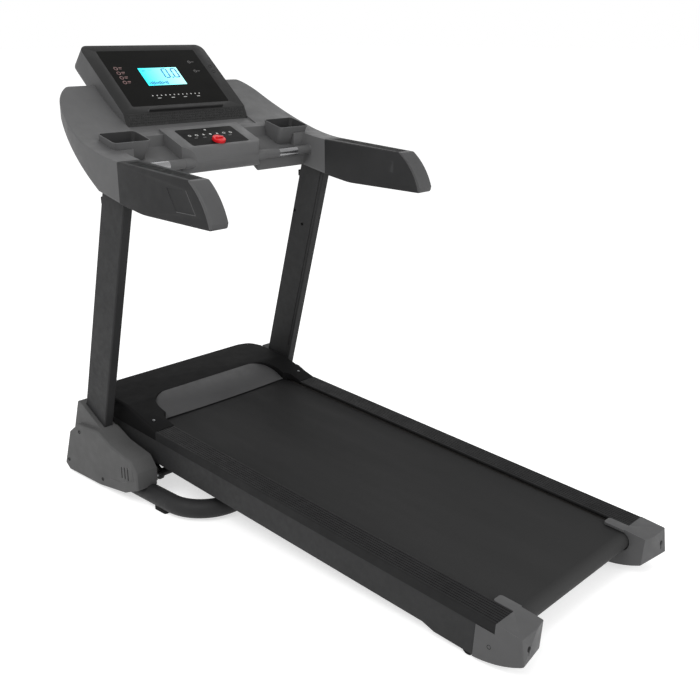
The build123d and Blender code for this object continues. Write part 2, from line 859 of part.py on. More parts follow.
def hood_insert():
    slope = (hood_crest + insert_drop) / (insert_front_at - hood_mouth_side_at)
    rear_at = hood_mouth_at - hood_wall
    start = (rear_at, -insert_drop - slope * (hood_mouth_side_at - rear_at))
    end = (insert_front_at + hood_wall, hood_crest + hood_wall * slope)
    sheet = face_of(start, end, (end[0], end[1] - insert_thick), (start[0], start[1] - insert_thick))
    half = insert_half_width
    slab = across(sheet, (-half, half)) & upward(insert_plan(), (-2 * rail_lip, 3 * hood_crest))
    slab -= upward(mouth_plan(), (-2 * rail_lip, 3 * hood_crest))
    return slab & box((-half, half), (0, hood_front_at), (hood_belt_gap - belt_drop, 3 * hood_crest))


# Motor bay
def motor_tray():
    low = frame_low
    tray = box((-frame_in, frame_in), (tray_rear_at, tray_step_at), (low, low + tray_thick))
    tray += box((-tray_half_width, tray_half_width), (tray_step_at, tray_front_at),
                (low, low + tray_thick))
    for rib in range(-2, 3):
        x = rib * tray_half_width / 3
        tray += box((x - 3, x + 3), (tray_rear_at, tray_step_at),
                    (low + tray_thick, low + 3 * tray_thick))
    notch = fork_gap / 2 + plate_thick + 8
    return tray - box((strut_at - notch, strut_at + notch), (tray_step_at, tray_front_at + 1),
                      (low - 1, low + 20))


def drive_motor():
    can = (motor_left + motor_bell, motor_right - motor_bell)
    body = rod_x(motor_radius, can, motor_at, -motor_drop)
    body += rod_x(motor_radius - motor_bell_step, (motor_left, motor_right), motor_at, -motor_drop)
    tray_top = frame_low + tray_thick
    reach = motor_foot_reach
    foot = face_of((motor_at - reach, tray_top), (motor_at + motor_foot_toe, tray_top),
                   (motor_at + 0.75 * reach, -motor_drop), (motor_at - 0.75 * reach, -motor_drop))
    for near in (motor_left + 2 * motor_bell, motor_right - 2 * motor_bell - motor_foot_width):
        body += across(foot, (near, near + motor_foot_width))
    return body - rod_x(motor_shaft_radius + running_fit, (motor_left - 1, motor_right - 30), motor_at,
                        -motor_drop)


def motor_rotor():
    pulley = (-pulley_inner_at - pulley_width, -pulley_inner_at)
    rotor = rod_x(motor_shaft_radius, (pulley[0], motor_right - 32), motor_at, -motor_drop)
    rotor += rod_x(motor_pulley_radius, pulley, motor_at, -motor_drop)
    wheel = (motor_left - flywheel_gap - flywheel_width, motor_left - flywheel_gap)
    rotor += rod_x(flywheel_radius, wheel, motor_at, -motor_drop)
    for step in range(6):
        hole = Rot(60 * step, 0, 0) * rod_x(8, (wheel[0] - 1, wheel[1] + 1), flywheel_radius * 0.62, 0)
        rotor -= Pos(0, motor_at, -motor_drop) * hole
    return rotor


def drive_belt():
    def loop(extra):
        return hull_of((front_roller_at, roller_axis), drive_pulley_radius + extra,
                       (motor_at, -motor_drop), motor_pulley_radius + extra)
    start = -pulley_inner_at - (pulley_width + drive_belt_width) / 2
    return across(loop(belt_gap + drive_belt_thick) - loop(belt_gap), (start, start + drive_belt_width))


def controller():
    low = frame_low + tray_thick
    width, length, height = controller_size
    span_x = (controller_left, controller_left + width)
    span_y = (controller_rear_at, controller_rear_at + length)
    unit = box(span_x, span_y, (low, low + height * 0.5))
    for fin in range(9):
        x = span_x[0] + 4 + fin * (width - 8) / 8
        unit += box((x - 1.5, x + 1.5), span_y, (low + height * 0.5, low + height))
    return unit


def power_inlet():
    block = inlet_box(0)
    socket = box((inlet_at - 40, inlet_at - 8), (inlet_front - 14, inlet_front + 1),
                 (inlet_middle - 12, inlet_middle + 12))
    block -= fillet(socket.edges().filter_by(Axis.Y), 5)
    for pin in (-9, 0, 9):
        block += box((inlet_at - 25 + pin, inlet_at - 23 + pin), (inlet_front - 14, inlet_front - 3),
                     (inlet_middle - 3, inlet_middle + 3))
    width, depth, height = switch_size
    window_x = (switch_x - width / 2 - 0.5, switch_x + width / 2 + 0.5)
    window_z = (inlet_middle - height / 2 - 2, inlet_middle + height / 2 + 2)
    block -= box(window_x, (inlet_front - depth - 4, inlet_front + 1), window_z)
    reach = width / 2 + switch_pin_reach + 0.5
    return block - rod_x(switch_pin_radius + running_fit, (switch_x - reach, switch_x + reach),
                         inlet_front - switch_pin_depth, inlet_middle)


def power_switch():
    width, depth, height = switch_size
    low = inlet_middle - height / 2
    high = inlet_middle + height / 2
    rear = inlet_front - depth
    rocker = face_of((rear, low), (inlet_front + 1, low), (inlet_front - 2, inlet_middle),
                     (inlet_front + 1, high),
                     (rear, high))
    reach = width / 2 + switch_pin_reach
    return across(rocker, (switch_x - width / 2, switch_x + width / 2)) + rod_x(
        switch_pin_radius, (switch_x - reach,
                            switch_x + reach), inlet_front - switch_pin_depth, inlet_middle)


# Lift frame, fold pivot, strut and incline drive
def lift_arm():
    span = (lift_arm_inner, lift_arm_inner + lift_arm_thick)
    arm = link_plate(lift_pivot, lift_boss, fold_pivot, lift_boss, span)
    along = hypot(fold_pivot[0] - lift_pivot[0], fold_pivot[1] - lift_pivot[1])
    slope = degrees(atan2(fold_pivot[1] - lift_pivot[1], fold_pivot[0] - lift_pivot[0]))
    middle = ((fold_pivot[0] + lift_pivot[0]) / 2, (fold_pivot[1] + lift_pivot[1]) / 2)
    window = Pos(*middle) * Rot(0, 0, slope) * SlotOverall(along - 5 * lift_boss, lift_arm_waist)
    arm -= across(window, (span[0] - 1, span[1] + 1))
    for point in (lift_pivot, fold_pivot):
        arm -= rod_x(axle_radius + running_fit, (span[0] - 1, span[1] + 1), *point)
    return arm


def lift_tube():
    tube = rod_x(lift_tube_radius, (-lift_arm_inner, lift_arm_inner), *lift_pivot)
    for side in (-1, 1):
        middle = lever_at + side * (fork_gap + plate_thick) / 2
        span = (middle - plate_thick / 2, middle + plate_thick / 2)
        tube += link_plate(lift_pivot, lift_tube_radius + 3, lever_pin, fork_boss, span)
    return tube - rod_x(axle_radius + running_fit, (-lift_arm_inner - 1, lift_arm_inner + 1), *lift_pivot)


def fold_axle():
    axle = rod_x(axle_radius, (-frame_out - 3, frame_out + 3), *fold_pivot)
    for side in (-1, 1):
        middle = strut_at + side * (fork_gap + plate_thick) / 2
        span = (middle - plate_thick / 2, middle + plate_thick / 2)
        axle += link_plate(fold_pivot, axle_radius + 8, strut_low_pin, fork_boss, span)
    reach = fork_gap / 2 + plate_thick
    return axle + rod_x(link_pin_radius, (strut_at - reach, strut_at + reach), *strut_low_pin)


def along_link(start, end, x):
    angle = degrees(atan2(end[1] - start[1], end[0] - start[0]))
    return Pos(x, *start) * Rot(angle, 0, 0)


def link_eye(at, bore):
    eye = rod_x(link_eye_radius, (-link_eye_width / 2, link_eye_width / 2), at, 0)
    return eye - rod_x(bore, (-link_eye_width, link_eye_width), at, 0)


def strut_barrel():
    start = link_eye_radius - 2
    hollow = strut_tongue + 4
    body = rod_y(strut_barrel_radius, 0, (start, strut_barrel_length), 0)
    body -= rod_y(strut_barrel_radius - strut_barrel_wall, 0,
                  (hollow, strut_barrel_length - strut_gland), 0)
    body -= rod_y(strut_rod_radius + running_fit, 0, (hollow, strut_barrel_length + 1), 0)
    cheek = link_eye_width / 2
    wide = 2 * strut_barrel_radius
    for span in ((-wide, -cheek), (cheek, wide)):
        body -= box(span, (0, strut_tongue), (-wide, wide))
    body -= rod_x(link_pin_radius + running_fit, (-wide, wide), 0, 0)
    return along_link(strut_low_pin, strut_deck_pin,
                      strut_at) * (body + link_eye(0, link_pin_radius + running_fit))


def strut_rod():
    length = hypot(strut_deck_pin[0] - strut_low_pin[0], strut_deck_pin[1] - strut_low_pin[1])
    body = rod_y(strut_rod_radius, 0, (piston_at, length - link_eye_radius + 2), 0)
    piston = strut_barrel_radius - strut_barrel_wall - running_fit
    body += rod_y(piston, 0, (piston_at, piston_at + piston_length), 0)
    return along_link(strut_low_pin, strut_deck_pin,
                      strut_at) * (body + link_eye(length, link_pin_radius))


def incline_motor():
    width, length, height = incline_gearbox
    start = incline_gearbox_at
    unit = box((-width / 2 + 8, width / 2 + 8), (start, start + length), (-height / 2, height / 2))
    unit += link_eye(0, link_pin_radius + running_fit)
    unit += box((-link_eye_width / 2, link_eye_width / 2), (link_eye_radius - 3, start + 2), (-8, 8))
    unit += rod_y(incline_tube_radius, 0, (start + length, incline_tube_end), 0)
    can_y = (start + 6, start + 6 + incline_motor_length)
    unit += rod_y(incline_motor_radius, 30 + incline_motor_radius / 2, can_y, 0)
    unit -= rod_y(incline_screw_radius + running_fit, 0, (start + length, incline_tube_end + 1), 0)
    return along_link(incline_pin, lever_pin, lever_at) * unit


def incline_screw():
    length = hypot(lever_pin[0] - incline_pin[0], lever_pin[1] - incline_pin[1])
    start = incline_gearbox_at + incline_gearbox[1] + 45
    body = rod_y(incline_screw_radius, 0, (start, length - fork_boss - 4), 0)
    tongue = link_eye_width / 2
    body += box((-tongue, tongue), (length - fork_boss - 5, length - link_eye_radius + 3),
                (-tongue, tongue))
    return along_link(incline_pin, lever_pin, lever_at) * (body + link_eye(length, link_pin_radius))


# Base frame on the floor
def base_side_tube():
    span = (base_bow_y + base_bend_radius, base_tube_front)
    tube = rod_y(base_tube_radius, base_tube_x, span, base_tube_height)
    bracket = box((lift_bracket_inner, base_tube_x - base_tube_radius + 8),
                  (lift_pivot_y - lift_bracket_half, lift_pivot_y + lift_bracket_half),
                  (base_tube_height - 18, lift_pivot_z + lift_bracket_half))
    tube += fillet(bracket.edges().filter_by(Axis.X).group_by(Axis.Z)[-1], lift_bracket_half - 4)
    tube -= rod_y(base_tube_radius - base_tube_wall, base_tube_x, (span[0] - 1, span[1] + 1),
                  base_tube_height)
    bore = (lift_bracket_inner - 1, base_tube_x - base_tube_radius)
    return tube - rod_x(axle_radius + running_fit, bore, *lift_pivot)


def base_bow():
    inner_x = base_tube_x - base_bend_radius
    joint_y = base_bow_y + base_bend_radius
    height = base_tube_height
    bend = base_bend_radius * sin(radians(45))
    right = ThreePointArc((base_tube_x, joint_y, height), (inner_x + bend, joint_y - bend, height),
                          (inner_x, base_bow_y, height))
    left = ThreePointArc((-inner_x, base_bow_y, height), (-inner_x - bend, joint_y - bend, height),
                         (-base_tube_x, joint_y, height))
    path = Wire([right, Line(right @ 1, left @ 0), left])
    ring = Circle(base_tube_radius) - Circle(base_tube_radius - base_tube_wall)
    bow = sweep(Plane(origin=right @ 0, z_dir=right % 0) * ring, path)
    for side in (-1, 1):
        middle = lever_at + side * (fork_gap + plate_thick) / 2
        span = (middle - plate_thick / 2, middle + plate_thick / 2)
        lug = link_plate((base_bow_y, height), 22, incline_pin, fork_boss, span)
        bow += lug - rod_x(base_tube_radius - 1, (span[0] - 1, span[1] + 1), base_bow_y, height)
    reach = fork_gap / 2 + plate_thick
    return bow + rod_x(link_pin_radius, (lever_at - reach, lever_at + reach), *incline_pin)


def side_tube_space(clearance):
    span = (base_bow_y, base_tube_front + 60)
    return rod_y(base_tube_radius + clearance, base_tube_x, span, base_tube_height)


def front_tube():
    span_y = (front_tube_y - front_tube_width / 2, front_tube_y + front_tube_width / 2)
    span_z = (base_tube_height - front_tube_height / 2, base_tube_height + front_tube_height / 2)
    tube = box((-base_tube_x, base_tube_x), span_y, span_z)
    hollow_y = (span_y[0] + base_tube_wall, span_y[1] - base_tube_wall)
    tube -= box((-base_tube_x, base_tube_x), hollow_y,
                (span_z[0] + base_tube_wall, span_z[1] - base_tube_wall))
    tube -= side_tube_space(0) + other_side(side_tube_space(0))
    wheel_z = wheel_radius + wheel_floor_gap
    for side in (-1, 1):
        for face in (-1, 1):
            middle = side * wheel_x + face * (wheel_width / 2 + 1 + wheel_plate / 2)
            span = (middle - wheel_plate / 2, middle + wheel_plate / 2)
            arm = link_plate((span_y[1] - 2, base_tube_height), 18, (wheel_y, wheel_z), 12, span)
            arm -= box((span[0] - 1, span[1] + 1), (span_y[0] - 20, span_y[1]), (0, 2 * base_tube_height))
            tube += arm
        reach = wheel_width / 2 + 1 + wheel_plate
        tube += rod_x(wheel_axle_radius, (side * wheel_x - reach, side * wheel_x + reach), wheel_y,
                      wheel_z)
    return tube


def wheel():
    half = wheel_width / 2
    profile = face_of((-half, wheel_axle_radius + running_fit), (half, wheel_axle_radius + running_fit),
                      (half, wheel_radius - 3), (half - 3, wheel_radius), (3 - half, wheel_radius),
                      (-half, wheel_radius - 3))
    for side in (-1, 1):
        profile -= Pos(side * half, wheel_radius * 0.55) * Rectangle(8, wheel_radius * 0.4)
    return Pos(wheel_x, wheel_y, wheel_radius + wheel_floor_gap) * revolve(profile, Axis.X)


def base_feet():
    pads = []
    width, length = foot_pad
    for place in foot_places:
        pad = Pos(base_tube_x, place, foot_pad_top / 2) * Box(width, length, foot_pad_top)
        pad = fillet(pad.edges().filter_by(Axis.Z), width / 5) - side_tube_space(0)
        pads += [pad, other_side(pad)]
    return group(pads)


def upright_line(height, back):
    return (upright_foot_y - upright_lean * height - back, height)


def upright_form(inset, low, high):
    side = face_of(upright_line(low, inset), upright_line(high, inset),
                   upright_line(high, upright_depth - inset),
                   upright_line(low, upright_depth - inset))
    return across(side, (upright_inner + inset, upright_outer - inset))


def upright():
    post = upright_form(0, base_tube_height, upright_top)
    post = fillet(post.edges().filter_by(lambda edge: abs(edge.tangent_at(0).Z) > 0.9), upright_round)
    post -= upright_form(upright_wall, base_tube_height - 10, upright_top + 10)
    back = upright_depth - upright_groove_back
    groove = face_of(upright_line(upright_groove_low, back), upright_line(upright_top + 10, back),
                     upright_line(upright_top + 10, back - upright_groove),
                     upright_line(upright_groove_low, back - upright_groove))
    post -= across(groove, (upright_inner - 1, upright_inner + upright_groove_depth))
    return post - side_tube_space(0)


def cover_form(inset):
    def at(point, along, up):
        return (upright_foot_y + point[0] + along * inset, point[1] + up * inset)
    brow = at(cover_brow, 1, -1)
    front_high = at(cover_front_high, -1, -1)
    front_low = at(cover_front_low, -1, 0)
    body = face_of(front_low, front_high, at(cover_crest_front, 0, -1), at(cover_crest_rear, 0, -1),
                   at(cover_saddle, 0, -1), brow, at(cover_chin, 1, 0), at(cover_toe, 1, 0),
                   at(cover_sole_rear, 0, -1), at(cover_sole_mid, 0, -1), at(cover_sole_front, -1, -1))
    body = soften(body, brow, cover_brow_round)
    body = soften(body, front_high, cover_front_round)
    body = soften(body, front_low, cover_front_round)
    lower = across(body, (cover_inner + inset, cover_outer - inset))
    peak = at(collar_peak, -1, -1)
    rear = at(collar_rear, 1, -1)
    collar = face_of(at(collar_front, -1, 0), peak, rear, (rear[0], collar_front[1]))
    collar = soften(collar, peak, collar_round)
    return lower, across(collar, (collar_inner + inset, collar_outer - inset))


def base_cover():
    lower, collar = cover_form(0)
    outer_edges = lower.edges().filter_by(lambda edge: edge.center().X > cover_outer - 1)
    lower = fillet(outer_edges, cover_round)
    form = lower + collar
    inner_lower, inner_collar = cover_form(cover_wall)
    form -= inner_lower
    form -= inner_collar
    form -= upright_form(-cover_fit, -20, collar_peak[1] + 100)
    form -= side_tube_space(cover_fit)
    for step in range(cover_slot_count):
        rear = upright_foot_y + cover_slot_rear + cover_slot_pitch * step
        form -= box((cover_outer - 2 * cover_wall - 1, cover_outer + 1), (rear, rear + cover_slot_width),
                    (cover_slot_low, cover_slot_high - cover_slot_fall * step))
    length = (upright_foot_y + 2 * cover_toe[0], upright_foot_y - cover_toe[0])
    form -= box((0, cover_inner + cover_wall + cover_fit), length,
                (-20, base_tube_height + base_tube_radius + 7))
    return form - box((0, base_tube_x), length, (-20, base_tube_height - base_tube_radius + 10))


# Console
def console_side(inset):
    top = ThreePointArc((console_rear_y, console_rear_top), console_mid, console_front_top)
    rim = Polyline(console_front_top, console_front_low, console_knee, (console_rear_y, console_rear_low),
                   (console_rear_y, console_rear_top))
    face = make_face(Wire([top, *rim.edges()]))
    face = soften(face, console_front_top, console_nose_round)
    face = soften(face, console_front_low, console_nose_round)
    return offset(face, -inset) if inset else face


def console_plan(inset):
    half = console_half_width
    front = console_front_top[0]
    waist = (half, console_mid[0] - console_waist_back)
    shoulder = (half - console_shoulder[0], front - console_shoulder[1])
    brow = (half - console_brow[0], front - console_brow[1])
    waist_mid = (half - console_mid_in[0], console_mid[0] + console_mid_in[1])
    shoulder_mid = (half - console_shoulder_mid[0], front - console_shoulder_mid[1])
    outline = [ThreePointArc(waist, waist_mid, shoulder), ThreePointArc(shoulder, shoulder_mid, brow)]
    outline += [mirror(arc, about=Plane.YZ) for arc in outline]
    outline.append(ThreePointArc(brow, (0, front + console_bow), (-brow[0], brow[1])))
    inner = wing_inner - wing_taper
    rim = Polyline((-half, waist[1]), (-half, console_rear_y), (-wing_inner, console_rear_y),
                   (-inner, valley_rear_y),
                   (inner, valley_rear_y), (wing_inner, console_rear_y), (half, console_rear_y), waist)
    face = make_face([*outline, *rim.edges()])
    return offset(face, -inset) if inset else face


def console_body(inset):
    reach = console_half_width + 10
    body = across(console_side(inset), (-reach, reach)) & upward(console_plan(inset), (-200, 500))
    if inset:
        return body
    top = body.faces().filter_by(GeomType.CYLINDER).sort_by(SortBy.AREA)[-1]
    rim = top.outer_wire().edges().filter_by(lambda edge: abs(edge.center().X) > wing_inner)
    return fillet(rim.filter_by(lambda edge: edge.center().Y > console_rear_y + 1), console_rim_round)


def console_form(inset):
    form = console_body(inset)
    form -= box((-pod_half_width - inset, pod_half_width + inset),
                (2 * console_rear_y, pod_front[0] + inset), (-200, 500))
    high = console_front_top[1]
    for side in (-1, 1):
        near = side * (pod_half_width + inset)
        far = side * (valley_outer + inset)
        rear = valley_rear_y - 40
        floor = face_of((rear, console_rear_top - 15 - valley_depth - inset),
                        (valley_front_y + inset, valley_front_top - valley_depth - inset),
                        (valley_front_y + 20 + inset, high), (rear, high))
        form -= across(floor, (min(near, far), max(near, far)))
    seat_y = housing_lip[0] + housing_seat + inset
    seat_top = housing_fold[1] + housing_seat + 20
    saddle = face_of((pod_front[0] - 1, pod_front[1] - 12 - inset),
                     (housing_lip[0], housing_lip[1] - inset),
                     (seat_y, housing_lip[1] - inset), (seat_y, seat_top), (pod_front[0] - 1, seat_top))
    return form - across(saddle, (-housing_half_width - inset, housing_half_width + inset))


def console_floor():
    slope = atan2(console_front_low[1] - console_knee[1], console_front_low[0] - console_knee[0])
    side = console_side(0)
    band = side - Pos(0, console_wall / cos(slope)) * side
    return across(band, (-console_half_width - 5, console_half_width + 5))


def wing_tube_space(clearance):
    half = handrail_tube / 2 + clearance
    return box((handrail_tube_x - half, handrail_tube_x + half),
               (handrail_tube_rear - clearance, handrail_tube_front + clearance),
               (-clearance, 2 * half - clearance))


def upright_space():
    form = upright_form(-cover_fit, upright_top - 100, upright_top + 1)
    return console_place.inverse() * form


def console_upper(outer, inner):
    shell = outer - inner - console_floor()
    for space in (cup_form(cup_fit), wing_tube_space(cover_fit), upright_space()):
        shell -= space
        shell -= other_side(space)
    return shell


def console_lower(outer):
    plate = outer & console_floor()
    hole = upright_space()
    return plate - hole - other_side(hole)


def handrail_tube_piece():
    tube = wing_tube_space(0)
    half = handrail_tube / 2 - handrail_tube_wall
    middle = handrail_tube / 2
    return tube - box((handrail_tube_x - half, handrail_tube_x + half),
                      (handrail_tube_rear - 1, handrail_tube_front + 1), (middle - half, middle + half))


def pod_form(inset):
    nose = ThreePointArc(pod_rear, pod_nose, pod_low)
    rim = Polyline(pod_low, pod_keel, pod_front, pod_rear)
    side = make_face(Wire([nose, *rim.edges()]))
    rear = pod_nose[0] - 2
    cheek = (pod_half_width - pod_cheek, rear)
    plan = face_of((-pod_half_width, pod_front[0] + 10), (-pod_half_width, rear + pod_cheek_length),
                   (-cheek[0], rear),
                   cheek, (pod_half_width, rear + pod_cheek_length), (pod_half_width, pod_front[0] + 10))
    for x in (-1, 1):
        plan = soften(plan, (x * cheek[0], rear), pod_cheek_round)
    if inset:
        side = offset(side, -inset)
        plan = offset(plan, -inset)
    return across(side, (-pod_half_width, pod_half_width)) & upward(plan, (-200, 500))


pod_slope = atan2(pod_front[1] - pod_rear[1], pod_front[0] - pod_rear[0])
panel_plane = Plane(origin=(0, *pod_rear), x_dir=(1, 0, 0), z_dir=(0, -sin(pod_slope), cos(pod_slope)))


def on_panel(shape):
    return panel_plane.location * shape


def panel_block(extra):
    plate = Box(2 * panel_half_width + extra, panel_length + extra, panel_thick)
    plate = fillet(plate.edges().filter_by(Axis.Z), panel_round)
    return Pos(0, panel_margin + panel_length / 2, -panel_thick / 2) * plate


def key_seat():
    seat = Cylinder(key_stem_radius + key_gap, key_stem + 0.01)
    return Pos(0, panel_margin + key_from_edge, -key_stem / 2) * seat


def control_pod():
    shell = pod_form(0) - pod_form(pod_wall)
    return shell - on_panel(panel_block(0)) - on_panel(key_seat())


def control_panel():
    return on_panel(panel_block(0) - key_seat())


def safety_key():
    at = panel_margin + key_from_edge
    cap = Pos(0, at, key_gap + key_height / 2) * Cylinder(key_radius, key_height)
    cap = fillet(cap.edges().group_by(Axis.Z)[-1], key_height / 3)
    stem = Cylinder(key_stem_radius, key_stem - 1)
    return on_panel(cap + Pos(0, at, key_gap - key_stem / 2 + 0.5) * stem)


# Display
housing_length = hypot(housing_top[1] - housing_fold[1], housing_top[0] - housing_fold[0])
screen_plane = Plane(origin=(0, *housing_top), x_dir=(1, 0, 0),
                     z_dir=(0, -sin(housing_slope), cos(housing_slope)))
lip_slope = atan2(housing_fold[1] - housing_lip[1], housing_fold[0] - housing_lip[0])
lip_length = hypot(housing_fold[1] - housing_lip[1], housing_fold[0] - housing_lip[0])
lip_plane = Plane(origin=(0, *housing_fold), x_dir=(1, 0, 0), z_dir=(0, -sin(lip_slope), cos(lip_slope)))


def display_housing(console_block):
    back_x = housing_depth * sin(housing_slope)
    back_z = housing_depth * cos(housing_slope)
    back_top = (housing_top[0] + back_x, housing_top[1] - back_z)
    back_low = (housing_fold[0] + back_x, housing_fold[1] - back_z)
    side = face_of(housing_top, back_top, back_low, housing_lip, housing_fold)
    side = soften(side, back_top, housing_back_round)
    body = across(side, (-housing_half_width, housing_half_width))
    crown = body.edges().filter_by(lambda edge: edge.center().Z > housing_top[1] - 60
                                   and abs(edge.center().X) > 200)
    crown = crown.filter_by(lambda edge: edge.length > 30 and edge.center().Y > housing_top[0] + 5)
    body = fillet(crown.filter_by(lambda edge: edge.center().Z > back_top[1] + 20), housing_corner)
    inside = housing_half_width - 4 * housing_wall
    body -= across(offset(side, -1.5 * housing_wall), (-inside, inside))
    body -= console_block
    body -= screen_plane.location * glass_block()
    return body - lip_plane.location * grille_block() + tablet_ledge()


def glass_block():
    middle = -glass_from_top - glass_height / 2
    plate = Pos(0, middle, -glass_thick / 2) * Box(2 * glass_half_width, glass_height, glass_thick)
    return fillet(plate.edges().filter_by(Axis.Z), glass_round)


def lcd_block(extra):
    middle = -glass_from_top - lcd_from_glass_top - lcd_height / 2
    block = Box(lcd_width + extra, lcd_height + extra, glass_thick)
    return Pos(lcd_offset, middle, -glass_thick / 2) * block


def grille_block():
    middle = -lip_length / 2
    block = Box(2 * grille_half_width, lip_length - 2 * grille_margin, grille_thick)
    return Pos(0, middle, -grille_thick / 2) * block


def speaker_grille():
    plate = grille_block()
    holes = GridLocations(2 * grille_half_width / (grille_columns + 1), grille_pitch, grille_columns,
                          grille_rows)
    drill = [place * Cylinder(grille_hole, 3 * grille_thick) for place in holes]
    return lip_plane.location * (plate - [Pos(0, -lip_length / 2, 0) * hole for hole in drill])


def tablet_ledge():
    rise = face_of((-housing_length + 1, 0), (-housing_length + 1, ledge_reach),
                   (-housing_length + 4, ledge_reach + 2),
                   (-housing_length + ledge_height, 0))
    bar = extrude(Plane.YZ.offset(-ledge_half_width) * rise, 2 * ledge_half_width)
    return screen_plane.location * bar


# Cup holders
def cup_section(width, length, corner):
    return RectangleRounded(width, length, corner)


def cup_form(extra):
    top = cup_section(cup_width + 2 * extra, cup_length + 2 * extra, cup_corner)
    low = cup_section(cup_width + 2 * extra - 2 * cup_draft, cup_length + 2 * extra - 2 * cup_draft,
                      cup_corner)
    body = loft([top, Pos(0, 0, -cup_depth - extra) * low])
    return Pos(cup_x, cup_y, cup_z) * Rot(cup_tilt, 0, 0) * body


def cup_holder():
    top = cup_section(cup_width - 2 * cup_wall, cup_length - 2 * cup_wall, cup_corner - cup_wall)
    narrow = 2 * cup_wall + 2 * cup_draft
    low = cup_section(cup_width - narrow, cup_length - narrow, cup_corner - cup_wall)
    hollow = loft([Pos(0, 0, 1) * top, Pos(0, 0, cup_wall - cup_depth) * low])
    return cup_form(0) - Pos(cup_x, cup_y, cup_z) * Rot(cup_tilt, 0, 0) * hollow


# Pulse bars and handrails
def pulse_bar(console_block):
    bar = rod_x(pulse_radius, (pod_half_width, wing_inner), pulse_y, pulse_z) - console_block
    middle = (pod_half_width + wing_inner) / 2
    seat = rod_x(pulse_radius + 1, (middle - pulse_plate_half, middle + pulse_plate_half), pulse_y,
                 pulse_z)
    seat -= rod_x(pulse_radius - pulse_plate_thick, (middle - 60, middle + 60), pulse_y, pulse_z)
    return bar - seat


def pulse_plate():
    middle = (pod_half_width + wing_inner) / 2
    span = (middle - pulse_plate_half, middle + pulse_plate_half)
    ring = rod_x(pulse_radius, span, pulse_y, pulse_z)
    return ring - rod_x(pulse_radius - pulse_plate_thick, (span[0] - 1, span[1] + 1), pulse_y, pulse_z)


def handrail_top(y):
    slope = (console_rear_top - handrail_end_top[1]) / (console_rear_y - handrail_end_top[0])
    return handrail_end_top[1] + slope * (y - handrail_end_top[0])


def end_arc(forward):
    return ThreePointArc(*[(y + forward, z) for y,
                           z in (handrail_end_top, handrail_end_mid, handrail_end_low)])


def handrail_blank():
    toe = (handrail_end_low[0] + (handrail_end_low[1] - handrail_low) / 4, handrail_low)
    rim = Polyline(handrail_end_low, toe, handrail_mid, (console_rear_y, handrail_front_low),
                   (console_rear_y, console_rear_top), handrail_end_top)
    side = make_face(Wire([end_arc(0), *rim.edges()]))
    side = soften(side, toe, handrail_toe_round)
    side = soften(side, handrail_mid, 300)
    side = soften(side, handrail_end_top, handrail_toe_round)
    rail = across(side, (wing_inner, console_half_width))
    far = handrail_end_low[0] - 5
    wedge = face_of((wing_inner - 1, console_rear_y), (wing_inner, console_rear_y),
                    (wing_inner + handrail_taper, far),
                    (wing_inner - 1, far))
    rail -= upward(wedge, (2 * handrail_low, 2 * console_rear_top))
    long_edges = rail.edges().filter_by(lambda edge: abs(edge.tangent_at(0.5).X) < 0.3
                                        and edge.center().Y < console_rear_y - 5)
    return fillet(long_edges, handrail_round)


def cap_zone(forward):
    top = (handrail_end_top[0] + forward, handrail_end_top[1])
    low = (handrail_end_low[0] + forward, handrail_end_low[1])
    rise = console_rear_top
    rim = Polyline(low, (low[0] - rise / 4, low[1] - rise), (low[0] - 2 * rise, low[1] - rise),
                   (low[0] - 2 * rise, top[1] + rise), (top[0] + rise, top[1] + rise), top)
    zone = make_face(Wire([end_arc(forward), *rim.edges()]))
    return across(zone, (wing_inner - 50, console_half_width + 50))


def handrail_shell(blank):
    shell = blank - cap_zone(handrail_cap_thick)
    shell -= wing_tube_space(cover_fit)
    low_rear = (handrail_recess_rear, handrail_recess_low)
    high = handrail_recess_low + handrail_recess_height
    recess = face_of(low_rear, (low_rear[0] + handrail_recess_length, handrail_recess_low),
                     (low_rear[0] + handrail_recess_length + handrail_recess_lean, high),
                     (low_rear[0] + handrail_recess_lean, high))
    shell -= across(recess, (console_half_width - handrail_recess_depth, console_half_width + 1))
    return shell - grip_block()


def grip_block():
    middle = (wing_inner + console_half_width) / 2 + 4
    half = grip_strip_width / 2
    rear = (grip_strip_rear, handrail_top(grip_strip_rear))
    front = (grip_strip_front, handrail_top(grip_strip_front))
    strip = face_of((rear[0], rear[1] - grip_strip_thick), (front[0], front[1] - grip_strip_thick),
                    front, rear)
    return across(strip, (middle - half, middle + half))


def handrail_cap(blank):
    return blank & cap_zone(handrail_cap_thick)


# Deck nodes stand in the tilted deck frame
save_pair("side_frame", deck_place * side_frame())
save("cross_members", deck_place * cross_members())
save("deck_cushions", deck_place * cushions())
save("running_board", deck_place * running_board())
save("running_belt", deck_place * running_belt())
save("rear_roller", deck_place * roller(rear_roller_at))
save("front_roller", deck_place * (roller(front_roller_at) + drive_pulley()))
save("roller_shafts", deck_place * group([rear_shaft(), front_shaft()]))
save("belt_adjusters", deck_place * adjusters())
save_pair("foot_rail", deck_place * foot_rail())
save_pair("rear_cap", deck_place * rear_cap())
save("rear_feet", deck_place * both_sides(rear_foot()))
save("motor_hood", deck_place * hood())
save("hood_insert", deck_place * hood_insert())
save("motor_tray", deck_place * motor_tray())
save("drive_motor", deck_place * drive_motor())
save("motor_flywheel", deck_place * motor_rotor())
save("drive_belt", deck_place * drive_belt())
save("motor_controller", deck_place * controller())
save("power_inlet", deck_place * power_inlet())
save("power_switch", deck_place * power_switch())

# Lift frame, fold pivot and links
save("lift_arms", both_sides(lift_arm()))
save("lift_tube", lift_tube())
save("lift_shaft",
     rod_x(axle_radius, (-base_tube_x + base_tube_radius, base_tube_x - base_tube_radius), *lift_pivot))
save("fold_axle", fold_axle())
save("strut_barrel", strut_barrel())
save("strut_rod", strut_rod())
save("incline_motor", incline_motor())
save("incline_screw", incline_screw())

